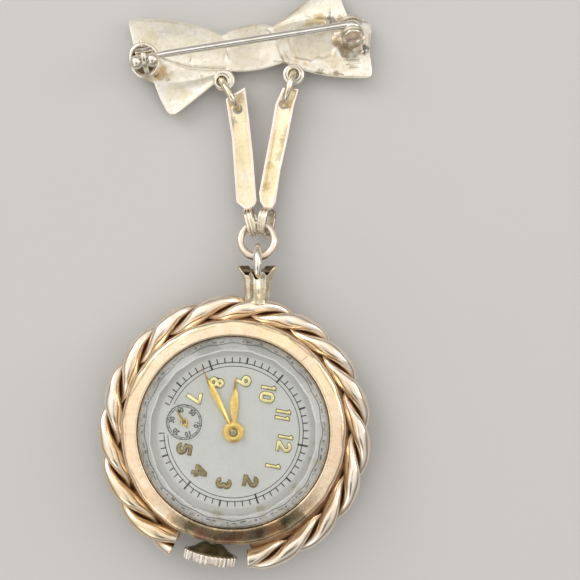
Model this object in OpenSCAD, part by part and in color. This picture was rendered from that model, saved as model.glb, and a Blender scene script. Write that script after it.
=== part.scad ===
/* [Watch case] */
// Widest radius of the bezel, mm
bezel_r = 9.75; // [9.6:0.05:9.8]
// Radius of the plain case side under the rope
case_r = 9.5; // [9.3:0.05:9.55]
// Height of the bezel's top above the resting plane
bezel_top = 6.6; // [6.5:0.05:6.8]
// Radius of the glass where the bezel holds it
glass_r = 8.28; // [8.2:0.02:8.3]
// Number of bevelled facets round the glass
glass_facets = 20; // [16:1:24]
// Angle of the twelve o'clock mark, in degrees from +X
twelve_angle = -11; // [-30:1:30]

/* [Rope rim] */
// Mean radius of the rope's centre line
rope_r = 11.1; // [11.1:0.02:11.2]
// How far the rope sits below the watch's centre, towards the crown
rope_drop = 0.4; // [0.3:0.02:0.4]
// How far the rope spreads where it is cut open for the crown
rope_spread = 0.1; // [0:0.02:0.12]
// Distance of each strand's centre from the rope's centre line
strand_offset = 0.53; // [0.53:0.01:0.58]
// Half thickness of a strand, towards and away from the other strand
strand_a = 0.5; // [0.45:0.01:0.5]
// Half width of a strand, across that
strand_b = 0.7; // [0.6:0.02:0.74]
// Twists of the rope in one full circle
rope_twists = 8.54; // [7:0.02:10]
// Angle of the crown and of the middle of the rope's gap
crown_angle = 259; // [255:1:263]
// Width of the rope's gap in degrees
rope_gap = 33; // [31:1:40]

/* [Hands] */
// Direction of the minute hand, in degrees from +X
minute_angle = 116; // [0:1:359]
// Direction of the hour hand
hour_angle = 88; // [0:1:359]
// Direction of the small seconds hand
seconds_angle = 121; // [0:1:359]

/* [Bow brooch] */
// Turn of the bow from level
bow_turn = 9; // [9:1:9]
// Height of the bow's back above the resting plane
bow_back = 1.55; // [1.5:0.05:1.6]
// Depth of the hollow in the back of each loop
bow_hollow = 0.45; // [0.2:0.05:0.5]
// Lean of the pin's hinge, as it is soldered on
hinge_lean = 35; // [33:1:37]

/* [Chain] */
// Thickness of the two upper rings' wire
jump_wire = 0.6; // [0.5:0.02:0.62]
// Thickness of the main ring's wire
main_wire = 0.7; // [0.6:0.02:0.72]
// Thickness of the bail's wire
bail_wire = 0.76; // [0.6:0.02:0.78]

/* [Hidden] */

// Round parts are true circles
round_fn = 96;
small_fn = 48;
// Overhang of a cut past the face that it goes through
cut = 0.2;
// Gap between pieces that lie together
gap = 0.03;

gold = [0.90, 0.78, 0.55];
pale_gold = [0.93, 0.88, 0.74];
rose_gold = [0.90, 0.74, 0.58];
silver_gilt = [0.87, 0.85, 0.78];

// Points and shapes that several pieces use
function lerp(a, b, k) = a + (b - a) * k;
function polar(r, a) = [r * cos(a), r * sin(a)];
function unit(v) = v / norm(v);

module ring_tube(mean_r, wire_d) {
    rotate_extrude($fn = round_fn)
        translate([mean_r, 0])
            circle(d = wire_d, $fn = small_fn);
}

// Place a child whose own X and Z axes point along two given directions
module aligned(origin, x_dir, z_dir) {
    x = unit(x_dir);
    z = unit(z_dir);
    y = cross(z, x);
    multmatrix([[x[0], y[0], z[0], origin[0]],
                [x[1], y[1], z[1], origin[1]],
                [x[2], y[2], z[2], origin[2]],
                [0, 0, 0, 1]])
        children();
}

// Heights in the watch, from the resting plane up
back_h = 1.18;
middle_base = back_h + 0.04;
middle_top = 4.58;
bezel_base = middle_top + 0.04;
dial_base = 5.0;
dial_h = 0.3;
dial_top = dial_base + dial_h;
seconds_base = 5.3;
seconds_h = 0.18;
hour_base = 5.5;
minute_base = 5.74;
hand_h = 0.16;
arbor_top = 6.02;
glass_base = 6.18;
glass_top = 7.3;
axis_h = 2.9;

// Radii in the watch
dial_r = 8.2;
movement_r = 8.2;
case_inner_r = 8.5;
back_flat_r = 7.8;
glass_flat_r = 7.24;
arbor_r = 0.26;
seconds_arbor_r = 0.1;
run_gap = 0.03;
stem_r = 0.38;
crown_r = 2.32;
crown_in = 11.05;
crown_out = 11.9;
crown_cone_in = 10.3;
crown_ribs = 40;

// Small seconds dial
seconds_pos = [-4.3, 0.85];
seconds_r = 1.6;

module at_crown(z) {
    translate([0, 0, z])
        rotate([0, 0, crown_angle])
            rotate([0, 90, 0])
                children();
}

module case_back() {
    color(pale_gold)
        difference() {
            rotate_extrude($fn = round_fn)
                polygon([[0, 0], [back_flat_r, 0], [8.5, 0.12], [9.0, 0.4],
                    [9.2, 0.8], [9.25, back_h], [0, back_h]]);
            translate([0, 0, 0.5])
                cylinder(r = case_inner_r, h = back_h, $fn = round_fn);
        }
}

module case_middle() {
    color(pale_gold)
        difference() {
            rotate_extrude($fn = round_fn)
                polygon([[case_inner_r, middle_base], [case_r - 0.2, middle_base],
                    [case_r, 1.7], [case_r, middle_top],
                    [case_inner_r, middle_top]]);
            at_crown(axis_h)
                cylinder(r = stem_r + run_gap, h = crown_out, $fn = small_fn);
        }
}

module movement() {
    base = 0.6;
    color([0.55, 0.52, 0.45])
        difference() {
            union() {
                translate([0, 0, base])
                    cylinder(r = movement_r, h = dial_base - 0.1 - base,
                        $fn = round_fn);
                translate([0, 0, base])
                    cylinder(r = arbor_r, h = arbor_top - base, $fn = small_fn);
                translate([seconds_pos[0], seconds_pos[1], base])
                    cylinder(r = seconds_arbor_r,
                        h = seconds_base + seconds_h - base, $fn = small_fn);
            }
            at_crown(axis_h)
                translate([0, 0, 6])
                    cylinder(r = stem_r + 0.1, h = 6, $fn = small_fn);
        }
}

module dial() {
    sink = 0.08;
    rim = 0.1;
    color([0.82, 0.83, 0.82])
        difference() {
            union() {
                translate([0, 0, dial_base])
                    cylinder(r = dial_r, h = dial_h, $fn = round_fn);
                translate([seconds_pos[0], seconds_pos[1], dial_top - sink])
                    cylinder(r = seconds_r + rim, h = sink + 0.05, $fn = round_fn);
            }
            translate([seconds_pos[0], seconds_pos[1], dial_top - sink])
                cylinder(r = seconds_r, h = 1, $fn = round_fn);
            translate([seconds_pos[0], seconds_pos[1], dial_base - cut])
                cylinder(r = 0.16, h = 1, $fn = small_fn);
            translate([0, 0, dial_base - cut])
                cylinder(r = 0.5, h = 1, $fn = small_fn);
        }
}

module bezel() {
    ledge_r = 8.0;
    seat_r = glass_r + gap;
    color(rose_gold)
        rotate_extrude($fn = round_fn)
            polygon([[8.3, bezel_base], [9.5, bezel_base], [bezel_r, 4.85],
                [bezel_r, 5.35], [9.62, 5.8], [9.4, 6.2], [9.15, 6.48],
                [8.95, 6.57], [8.7, bezel_top], [8.45, 6.57], [seat_r, 6.5],
                [seat_r, glass_base - gap], [ledge_r, glass_base - gap],
                [ledge_r, dial_top + gap], [8.3, dial_top + gap]]);
}

module crystal() {
    edge_h = 0.3;
    top_h = 0.05;
    color([0.8, 0.9, 0.95, 0.35])
        rotate([0, 0, twelve_angle])
            hull() {
                translate([0, 0, glass_base])
                    cylinder(r = glass_r, h = edge_h, $fn = glass_facets * 3);
                translate([0, 0, glass_top - top_h])
                    cylinder(r = glass_flat_r, h = top_h, $fn = glass_facets);
            }
}

// The rope's two strands wind half a turn apart round the rope's centre line
strand_sides = 10;
rings_per_twist = 14;
rope_start = crown_angle - 360 + rope_gap / 2;
rope_end = crown_angle - rope_gap / 2;
rope_rings = ceil((rope_end - rope_start) / 360 * rope_twists * rings_per_twist);

function rope_path_r(a) = rope_r - rope_drop * sin(a) - rope_spread * cos(2 * a);
// Each section lies in a plane through the watch's axis, so the ends are flat
function strand_point(a, phase, side) =
    let (t = rope_twists * a + phase, q = 360 * side / strand_sides,
        away = strand_offset + strand_a * cos(q), across = strand_b * sin(q),
        r = rope_path_r(a) + away * cos(t) - across * sin(t),
        z = axis_h + away * sin(t) + across * cos(t))
    [r * cos(a), r * sin(a), z];

module rope_strand(phase) {
    last = rope_rings;
    points = [for (i = [0:last], side = [0:strand_sides - 1])
        strand_point(lerp(rope_start, rope_end, i / last), phase, side)];
    walls = [for (i = [0:last - 1], side = [0:strand_sides - 1])
        let (n = strand_sides, next = (side + 1) % n,
            a = i * n + side, b = i * n + next, c = a + n, d = b + n)
        each [[a, c, b], [b, c, d]]];
    first_cap = [[for (side = [0:strand_sides - 1]) side]];
    last_cap = [[for (side = [0:strand_sides - 1])
        last * strand_sides + strand_sides - 1 - side]];
    color(rose_gold)
        polyhedron(points, concat(walls, first_cap, last_cap));
}

module rope_strand_1() { rope_strand(90); }
module rope_strand_2() { rope_strand(-90); }

module crown_stem() {
    color([0.6, 0.58, 0.52])
        at_crown(axis_h)
            union() {
                translate([0, 0, 7])
                    cylinder(r = stem_r, h = crown_out - 7.35, $fn = small_fn);
                translate([0, 0, 6.6])
                    cylinder(r = 0.3, h = 0.5, $fn = small_fn);
            }
}

module crown() {
    bore_end = crown_out - 0.3;
    rib = 0.16;
    color(silver_gilt)
        at_crown(axis_h)
            difference() {
                union() {
                    rotate_extrude($fn = round_fn)
                        polygon([[0, crown_cone_in], [1.55, crown_cone_in],
                            [2.1, crown_in], [crown_r - 0.1, crown_in],
                            [crown_r - 0.1, crown_out], [1.6, crown_out + 0.1],
                            [0, crown_out + 0.14]]);
                    for (i = [0:crown_ribs - 1])
                        rotate([0, 0, i * 360 / crown_ribs])
                            translate([crown_r - 0.3, -rib / 2, crown_in + 0.04])
                                cube([0.3, rib, crown_out - crown_in - 0.08]);
                }
                translate([0, 0, crown_cone_in - cut])
                    cylinder(r = stem_r + run_gap, h = bore_end - crown_cone_in + cut,
                        $fn = small_fn);
            }
}

// A leaf shaped hand that lies along +X, with a round boss on its arbor
module leaf_hand(length, width, widest, boss_r, bore_r, h) {
    tip = 0.05;
    neck = 0.12;
    difference() {
        union() {
            linear_extrude(height = h)
                polygon([[0, -neck], [widest * 0.45, -width * 0.3],
                    [widest, -width / 2], [lerp(widest, length, 0.5), -width * 0.32],
                    [length, -tip], [length, tip],
                    [lerp(widest, length, 0.5), width * 0.32], [widest, width / 2],
                    [widest * 0.45, width * 0.3], [0, neck]]);
            cylinder(r = boss_r, h = h, $fn = small_fn);
        }
        translate([0, 0, -cut])
            cylinder(r = bore_r, h = h + 2 * cut, $fn = small_fn);
    }
}

module hour_hand() {
    color(gold)
        translate([0, 0, hour_base])
            rotate([0, 0, hour_angle])
                leaf_hand(4.68, 0.74, 2.35, 0.85, arbor_r + run_gap, hand_h);
}

module minute_hand() {
    color(gold)
        translate([0, 0, minute_base])
            rotate([0, 0, minute_angle])
                leaf_hand(6.33, 0.48, 3.2, 0.62, arbor_r + run_gap, hand_h);
}

module seconds_hand() {
    boss_r = 0.3;
    color(gold)
        translate([seconds_pos[0], seconds_pos[1], seconds_base])
            rotate([0, 0, seconds_angle])
                difference() {
                    union() {
                        cylinder(r = boss_r, h = seconds_h, $fn = small_fn);
                        translate([-0.55, -0.06, 0])
                            cube([1.9, 0.12, seconds_h]);
                    }
                    translate([0, 0, -cut])
                        cylinder(r = seconds_arbor_r + run_gap, h = 1, $fn = small_fn);
                }
}

// Applied numerals, built from straight strokes and part rings in a box
// that is num_w wide and num_h high, round its centre
num_w = 0.74;
num_h = 1.2;
num_stroke = 0.22;
num_t = 0.14;
num_r = 4.53;

module stroke(p, q) {
    along = unit(q - p);
    side = [-along[1], along[0]] * num_stroke / 2;
    linear_extrude(height = num_t)
        polygon([p - side, q - side, q + side, p + side]);
}

// Part of a ring from one angle to another
module arc_stroke(centre, r, from, to) {
    steps = ceil(abs(to - from) / 20);
    outer = [for (i = [0:steps]) centre + polar(r, lerp(from, to, i / steps))];
    inner = [for (i = [steps:-1:0])
        centre + polar(r - num_stroke, lerp(from, to, i / steps))];
    linear_extrude(height = num_t)
        polygon(concat(outer, inner));
}

// Whole ring of a figure
module ring_stroke(centre, r) {
    translate([centre[0], centre[1], 0])
        difference() {
            cylinder(r = r, h = num_t, $fn = small_fn);
            translate([0, 0, -cut])
                cylinder(r = r - num_stroke, h = num_t + 2 * cut, $fn = small_fn);
        }
}

module digit_0() {
    arc_stroke([0, 0.23], num_w / 2, 0, 180);
    arc_stroke([0, -0.23], num_w / 2, 180, 360);
    x = num_w / 2 - num_stroke / 2;
    stroke([x, -0.24], [x, 0.24]);
    stroke([-x, -0.24], [-x, 0.24]);
}
module digit_1() {
    stroke([0, -num_h / 2], [0, num_h / 2]);
    stroke([-0.02, 0.46], [-0.22, 0.3]);
}
module digit_2() {
    arc_stroke([0, 0.24], 0.36, -30, 170);
    stroke([0.24, 0.1], [-0.26, -0.47]);
    stroke([-0.36, -0.49], [0.37, -0.49]);
}
module digit_3() {
    arc_stroke([0, 0.27], 0.33, -90, 160);
    arc_stroke([0, -0.24], 0.36, -160, 90);
}
module digit_4() {
    stroke([0.12, -0.6], [0.12, 0.6]);
    stroke([0.08, 0.52], [-0.33, -0.2]);
    stroke([-0.42, -0.24], [0.36, -0.24]);
}
module digit_5() {
    stroke([-0.26, 0.49], [0.34, 0.49]);
    stroke([-0.22, 0.5], [-0.25, 0.02]);
    arc_stroke([-0.01, -0.21], 0.39, -155, 130);
}
module digit_7() {
    stroke([-0.37, 0.49], [0.37, 0.49]);
    stroke([0.28, 0.48], [-0.1, -0.6]);
}
module digit_8() {
    ring_stroke([0, 0.29], 0.31);
    ring_stroke([0, -0.24], 0.36);
}
module digit_9() {
    ring_stroke([0, 0.22], 0.38);
    stroke([0.27, 0.2], [0.02, -0.6]);
}

// Half the distance between the two figures of ten and twelve, and of eleven
pair_half = 0.41;
ones_half = 0.28;

// Each hour's place is its angle from twelve. Its figures stand upright, and
// shift moves a figure of a pair sideways
module place_numeral(hour, shift = 0) {
    spot = polar(num_r, twelve_angle - 30 * hour);
    color(hour >= 7 || hour == 1 ? gold : [0.45, 0.33, 0.15])
        translate([spot[0], spot[1], dial_top + 0.01])
            rotate([0, 0, twelve_angle - 90])
                translate([shift, 0, 0])
                    children();
}

module numeral_1() { place_numeral(1) digit_1(); }
module numeral_2() { place_numeral(2) digit_2(); }
module numeral_3() { place_numeral(3) digit_3(); }
module numeral_4() { place_numeral(4) digit_4(); }
module numeral_5() { place_numeral(5) digit_5(); }
module numeral_7() { place_numeral(7) digit_7(); }
module numeral_8() { place_numeral(8) digit_8(); }
module numeral_9() { place_numeral(9) digit_9(); }
module numeral_10_one() { place_numeral(10, -pair_half) digit_1(); }
module numeral_10_zero() { place_numeral(10, pair_half) digit_0(); }
module numeral_11_first() { place_numeral(11, -ones_half) digit_1(); }
module numeral_11_second() { place_numeral(11, ones_half) digit_1(); }
module numeral_12_one() { place_numeral(12, -pair_half) digit_1(); }
module numeral_12_two() { place_numeral(12, pair_half) digit_2(); }

// Pendant cap: a forked tulip whose two lobes stand left and right of the bail
cap_x = 1.98;
cap_base = 10.9;
cap_top = 14.45;
cap_pin_y = 13.96;
cap_pin_r = 0.24;
cap_pin_l = 2.75;
rope_clear = strand_offset + strand_a + 0.06;

// The cup, and the notch that the bail swings in
module cap_tulip() {
    notch_top = 1.25;
    notch_foot = 0.44;
    notch_depth = 1.86;
    difference() {
        rotate_extrude($fn = round_fn)
            polygon([[0, 0], [1.02, 0], [1.08, 1.2], [1.18, 1.9], [1.4, 2.7],
                [1.6, 3.2], [1.56, 3.55], [1.38, 3.5], [1.2, 2.8], [0.95, 2.2],
                [0.6, 1.8], [0, 1.7]]);
        translate([0, 0, cap_top - cap_base + 0.2])
            rotate([90, 0, 0])
                linear_extrude(height = 4, center = true)
                    polygon([[-notch_top, 0], [notch_top, 0],
                        [notch_foot, -notch_depth], [-notch_foot, -notch_depth]]);
    }
}

module pendant_cap() {
    color(silver_gilt)
        difference() {
            translate([cap_x, cap_base, axis_h])
                rotate([-90, 0, 0])
                    union() {
                        cap_tulip();
                        translate([0, 0, cap_pin_y - cap_base])
                            rotate([0, 90, 0])
                                cylinder(r = cap_pin_r, h = cap_pin_l,
                                    center = true, $fn = small_fn);
                    }
            translate([0, 0, axis_h])
                rotate_extrude($fn = round_fn)
                    translate([rope_path_r(80), 0])
                        circle(r = rope_clear, $fn = small_fn);
        }
}

// Bail: an upright ring that hangs on the cap's cross pin
bail_r = 1.45;
bail_pos = [2.04, 14.68, 2.55];

module bail() {
    color(silver_gilt)
        translate(bail_pos)
            rotate([0, 90, 0])
                ring_tube(bail_r, bail_wire);
}

// Main ring: lies almost flat, its lower side through the bail
main_r = 1.51;
main_pos = [1.96, 16.81, 2.18];
main_tilt = -13.5;

module main_ring() {
    color(silver_gilt)
        translate(main_pos)
            rotate([main_tilt, 0, 0])
                ring_tube(main_r, main_wire);
}

// Bars: shallow troughs that lie back side up, each ending in a ribbed loop
bar_base = 1.3;
bar_t = 0.5;
bar_lip = 0.16;
lip_w = 0.2;
bar_hole_r = 0.43;
jump_r = 1.45;
jump_h = jump_r + jump_wire / 2 + 0.05;
lug_hole_left = [-1.19, 30.97];
lug_hole_right = [5.21, 31.62];
// Each ring leaves its lug's hole along this direction, towards its bar
ring_dir_left = unit([0.4965, -0.868]);
ring_dir_right = unit([-0.29, -0.957]);
ring_step = 2.87;
bar_hole_left = lug_hole_left + ring_dir_left * ring_step;
bar_hole_right = lug_hole_right + ring_dir_right * ring_step;

bar_left_outline = [[-0.82, 29.35], [-0.28, 25.9], [0.12, 20.2], [0.8, 19.6],
    [1.6, 19.6], [1.92, 20.25], [1.57, 24.6], [1.23, 27.7], [0.88, 30.4]];
bar_right_outline = [[3.66, 28.9], [3.4, 27.3], [2.87, 24.5], [2.2, 21.0],
    [2.3, 20.2], [2.72, 19.6], [3.4, 19.6], [3.72, 20.2], [4.1, 22.9],
    [4.78, 25.9], [5.34, 28.8], [5.75, 30.2], [4.35, 30.35]];

// Trough floor with raised lips, cut by the ring's hole
module trough(outline, hole) {
    difference() {
        union() {
            translate([0, 0, bar_base])
                linear_extrude(height = bar_t)
                    polygon(outline);
            translate([0, 0, bar_base + bar_t])
                difference() {
                    linear_extrude(height = bar_lip)
                        polygon(outline);
                    translate([0, 0, -cut])
                        linear_extrude(height = 1)
                            polygon(inset(outline, lip_w));
                }
        }
        translate([hole[0], hole[1], 0])
            cylinder(r = bar_hole_r, h = 5, $fn = small_fn);
    }
}

// Moves each side of an outline inward by a distance; corners stay mitred
function inset(p, d) =
    let (n = len(p))
    [for (i = [0:n - 1])
        let (a = p[(i + n - 1) % n], b = p[i], c = p[(i + 1) % n],
            in_1 = left_of(unit(b - a)), in_2 = left_of(unit(c - b)),
            half = unit(in_1 + in_2))
        b + half * d / (half * in_1)];
function left_of(v) = [-v[1], v[0]];

// Ribbed loop, as a long closed band round the main ring
loop_w = 0.66;
loop_inner_h = 1.5;
loop_wall = 0.22;
rib_h = 0.06;

module slot_shape(length, height) {
    union() {
        square([length - height, height], center = true);
        translate([(length - height) / 2, 0]) circle(d = height, $fn = small_fn);
        translate([-(length - height) / 2, 0]) circle(d = height, $fn = small_fn);
    }
}

// The loop's own X runs along its length and its Z across the band
module ribbed_loop(length) {
    inner_l = length - 2 * loop_wall;
    rib_w = loop_w / 3 - 0.06;
    difference() {
        union() {
            linear_extrude(height = loop_w, center = true)
                slot_shape(length, loop_inner_h + 2 * loop_wall);
            for (i = [-1:1])
                translate([0, 0, i * loop_w / 3])
                    linear_extrude(height = rib_w, center = true)
                        slot_shape(length + 2 * rib_h,
                            loop_inner_h + 2 * loop_wall + 2 * rib_h);
        }
        linear_extrude(height = loop_w + 2 * cut, center = true)
            slot_shape(inner_l, loop_inner_h);
    }
}

module place_loop(centre, along, roll, length) {
    aligned(centre, along, [-along[1] * cos(roll), along[0] * cos(roll), sin(roll)])
        ribbed_loop(length);
}

loop_left_length = 2.55;
loop_right_length = 2.55;
loop_left_centre = [1.45, 18.38, 1.86];
loop_right_centre = [2.77, 18.42, 1.86];
loop_left_dir = [-0.27, 0.963, 0];
loop_right_dir = [0.17, 0.985, 0];
loop_left_roll = -8;
loop_right_roll = -28;
bar_roll = 10;

module bar_left() {
    color(pale_gold)
        union() {
            trough(bar_left_outline, bar_hole_left);
            place_loop(loop_left_centre, loop_left_dir, loop_left_roll,
                loop_left_length);
        }
}

module bar_right() {
    pivot = [bar_hole_right[0], bar_hole_right[1], bar_base + bar_t / 2];
    along = [2.95 - bar_hole_right[0], 19.6 - bar_hole_right[1], 0];
    color(pale_gold)
        union() {
            translate(pivot)
                rotate(a = bar_roll, v = along)
                    translate(-pivot)
                        trough(bar_right_outline, bar_hole_right);
            place_loop(loop_right_centre, loop_right_dir, loop_right_roll,
                loop_right_length);
        }
}

module upper_ring(lug_hole, dir) {
    mid = lug_hole + dir * ring_step / 2;
    color(pale_gold)
        aligned([mid[0], mid[1], jump_h], [dir[0], dir[1], 0], [-dir[1], dir[0], 0])
            ring_tube(jump_r, jump_wire);
}

module upper_ring_left() { upper_ring(lug_hole_left, ring_dir_left); }
module upper_ring_right() { upper_ring(lug_hole_right, ring_dir_right); }

// Bow: its own level frame has u to the right and v up, and turns by bow_turn
bow_centre = [1.51, 33.9];
bow_rim_t = 0.6;

function bow_place(u, v) =
    bow_centre + [u * cos(bow_turn) - v * sin(bow_turn),
                  u * sin(bow_turn) + v * cos(bow_turn)];

// Left wing's edges: place along the edge from 0 to 1, then u and v
wing_top = [[0, -2.5, 1.65], [0.3, -5.0, 2.98], [0.65, -7.8, 3.88], [1, -10.1, 4.3]];
wing_bottom = [[0, -2.15, -1.7], [0.3, -3.9, -2.62], [0.75, -6.9, -4.3],
    [1, -7.9, -4.7]];
wing_end = [[0, -7.9, -4.7], [0.08, -8.4, -4.35], [0.2, -8.8, -3.2],
    [0.36, -9.15, -1.6], [0.43, -9.8, -1.25], [0.5, -10.45, -0.8],
    [0.57, -10.72, 0.0], [0.75, -10.45, 2.1], [0.93, -10.55, 3.85],
    [1, -10.1, 4.3]];
knot_top = [[0, -2.5, 1.65], [0.25, -1.3, 2.05], [0.5, 0.3, 2.2], [0.75, 1.4, 2.0],
    [1, 2.15, 1.7]];

function along_edge(table, k) =
    [lookup(k, [for (row = table) [row[0], row[1]]]),
     lookup(k, [for (row = table) [row[0], row[2]]])];

// A wing's point at s from knot to end and t from lower to upper edge
function wing_point(s, t) =
    let (b = along_edge(wing_bottom, s), a = along_edge(wing_top, s),
        k = lerp(along_edge(wing_bottom, 0), along_edge(wing_top, 0), t),
        e = along_edge(wing_end, t),
        k0 = along_edge(wing_bottom, 0), k1 = along_edge(wing_top, 0),
        e0 = along_edge(wing_end, 0), e1 = along_edge(wing_end, 1))
    lerp(b, a, t) + lerp(k, e, s)
        - lerp(lerp(k0, e0, s), lerp(k1, e1, s), t);

// The knot's point, between the two wings
function knot_point(s, t) =
    let (top = along_edge(knot_top, s), low_start = along_edge(wing_bottom, 0),
        low_end = -along_edge(wing_top, 0),
        low = lerp(low_start, low_end, s) - [0, 0.25 * sin(180 * s)])
    lerp(low, top, t);

// How far the front swells, from 0 at an edge to 1 at a loop's middle
function crease_t(s) = 0.06 + 0.34 * s;
function wing_swell(s, t) =
    let (c = crease_t(s),
        loop_part = t > c ? sin(180 * (t - c) / (1 - c)) : 0,
        tail_part = t < c ? 0.4 * sin(180 * t / c) : 0,
        body = 0.35 + 0.65 * sin(180 * min(1, 0.12 + 0.8 * s)))
    (loop_part + tail_part) * body;

// The right wing is the left one turned round and this much of its size
right_wing = 0.97;
wing_cells = 12;
knot_cells = 5;
bow_rows = 12;
bow_columns = 2 * wing_cells + knot_cells;

function bow_row(t, i) = i <= wing_cells
    ? concat(wing_point(1 - i / wing_cells, t), wing_swell(1 - i / wing_cells, t))
    : i < wing_cells + knot_cells
    ? let (s = (i - wing_cells) / knot_cells)
        concat(knot_point(s, t), 0.2 + 0.8 * sin(180 * s) * sin(180 * t))
    : let (s = (i - wing_cells - knot_cells) / wing_cells)
        concat(-wing_point(s, 1 - t) * lerp(1, right_wing, s), wing_swell(s, 1 - t));

function bow_front_z(swell) = (bow_back - bow_rim_t) * (1 - swell) + 0.02;
function bow_back_z(swell) = bow_back - bow_hollow * swell;

module bow_shell() {
    m = bow_rows + 1;
    cells = [for (i = [0:bow_columns], j = [0:bow_rows]) bow_row(j / bow_rows, i)];
    front = [for (c = cells) concat(bow_place(c[0], c[1]), bow_front_z(c[2]))];
    back = [for (c = cells) concat(bow_place(c[0], c[1]), bow_back_z(c[2]))];
    o = len(front);
    faces = [for (i = [0:bow_columns - 1], j = [0:bow_rows - 1])
        let (a = i * m + j, b = a + 1, c = a + m, d = c + 1)
        each [[a, c, b], [b, c, d], [o + a, o + b, o + c], [o + b, o + d, o + c]]];
    sides = [for (i = [0:bow_columns - 1])
        let (a = i * m, c = a + m, p = a + bow_rows, q = c + bow_rows)
        each [[a, o + a, c], [c, o + a, o + c], [p, q, o + p], [q, o + q, o + p]]];
    ends = [for (j = [0:bow_rows - 1])
        let (a = j, b = j + 1, p = bow_columns * m + j, q = p + 1)
        each [[a, b, o + a], [b, o + b, o + a], [p, o + p, q], [q, o + p, o + q]]];
    polyhedron(concat(front, back), concat(faces, sides, ends));
}

// Lugs: round tabs on the bow's lower edge with a raised rim round each hole
lug_r = 0.95;
lug_base = 1.32;
lug_t = 0.46;
lug_hole_r = 0.43;
lug_left = [-0.96, 31.1];
lug_right = [5.21, 31.56];

module lug(centre) {
    translate([centre[0], centre[1], lug_base])
        cylinder(r = lug_r, h = lug_t, $fn = small_fn);
}
module lug_rim(hole) {
    translate([hole[0], hole[1], lug_base])
        cylinder(r = lug_hole_r + 0.14, h = lug_t + 0.06, $fn = small_fn);
}
module lug_hole(hole) {
    translate([hole[0], hole[1], -cut])
        cylinder(r = lug_hole_r, h = 5, $fn = small_fn);
}

// Pin: its line runs along u at this v and height, in the bow's level frame
pin_v = 0.49;
pin_h = 3.35;
pin_r = 0.32;
pin_tip_u = -10.45;
hinge_u = 8.95;
// The stem leaves its knuckle this far above the rivet
stem_rise = 0.62;
knuckle_r = 0.94;
knuckle_half = 0.4;
rivet_r = 0.22;
ear_r = 1.08;
ear_gap = 0.07;
ear_t = 0.32;
catch_u = -9.5;
band_in_r = 0.87;
band_out_r = 1.2;
band_w = 0.54;

// The bow's frame as directions, for the pin's fittings
u_dir = [cos(bow_turn), sin(bow_turn), 0];
v_dir = [-sin(bow_turn), cos(bow_turn), 0];
hinge_dir = -v_dir * cos(hinge_lean) + [0, 0, 1] * sin(hinge_lean);
// The way the pin lifts out of its catch
lift_dir = v_dir * sin(hinge_lean) + [0, 0, 1] * cos(hinge_lean);

function on_bow(u, v, z) = concat(bow_place(u, v), z);

// The hinge's own Z runs along the rivet and its X along the pin's line
module at_hinge() {
    aligned(on_bow(hinge_u, pin_v, pin_h) - stem_rise * lift_dir, u_dir, hinge_dir)
        children();
}

// The catch's own Z runs along the pin and its X the way the pin lifts out
module at_catch() {
    aligned(on_bow(catch_u, pin_v, pin_h), lift_dir, u_dir)
        children();
}

module hinge_ear(from, leg) {
    foot_w = 1.2;
    difference() {
        union() {
            translate([0, 0, from])
                cylinder(r = ear_r, h = ear_t, $fn = small_fn);
            translate([-foot_w / 2, -leg, from])
                cube([foot_w, leg, ear_t]);
        }
        translate([0, 0, from - cut])
            cylinder(r = rivet_r + 0.01, h = ear_t + 2 * cut, $fn = small_fn);
    }
}

module hinge_bracket() {
    foot_h = 0.5;
    at_hinge()
        union() {
            hinge_ear(knuckle_half + ear_gap, 2.1);
            hinge_ear(-knuckle_half - ear_gap - ear_t, 1.3);
        }
    translate(on_bow(8.7, -0.95, bow_back - 0.4))
        cylinder(r = 1.2, h = foot_h, $fn = small_fn);
    translate(on_bow(9.1, 0.4, bow_back - 0.4))
        cylinder(r = 0.85, h = foot_h, $fn = small_fn);
}

module catch_band() {
    mouth = 0.98;
    base = on_bow(catch_u, 0.28, bow_back - 0.4);
    post = on_bow(catch_u, pin_v, bow_back - 0.2);
    difference() {
        union() {
            at_catch()
                translate([0, 0, -band_w / 2])
                    cylinder(r = band_out_r, h = band_w, $fn = small_fn);
            aligned(post, u_dir, [0, 0, 1])
                translate([-band_w / 2, -1.75, 0])
                    cube([band_w, 2.3, 0.95]);
        }
        at_catch()
            union() {
                cylinder(r = band_in_r, h = 3, center = true, $fn = small_fn);
                translate([0, -mouth / 2, -1])
                    cube([3, mouth, 2]);
            }
    }
    translate(base)
        cylinder(r = 1.4, h = 0.62, $fn = small_fn);
}

module bow_brooch() {
    color(silver_gilt)
        difference() {
            union() {
                bow_shell();
                lug(lug_left);
                lug(lug_right);
                lug_rim(lug_hole_left);
                lug_rim(lug_hole_right);
                hinge_bracket();
                catch_band();
            }
            lug_hole(lug_hole_left);
            lug_hole(lug_hole_right);
        }
}

module hinge_rivet() {
    reach = knuckle_half + ear_gap + ear_t;
    head_r = 0.86;
    head_t = 0.24;
    color([0.72, 0.6, 0.48])
        at_hinge()
            difference() {
                union() {
                    translate([0, 0, -reach])
                        cylinder(r = rivet_r, h = 2 * reach + head_t, $fn = small_fn);
                    translate([0, 0, reach + 0.02])
                        cylinder(r = head_r, h = head_t, $fn = small_fn);
                }
                translate([0, 0, reach + head_t + 0.62])
                    sphere(r = 0.8, $fn = round_fn);
            }
}

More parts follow.
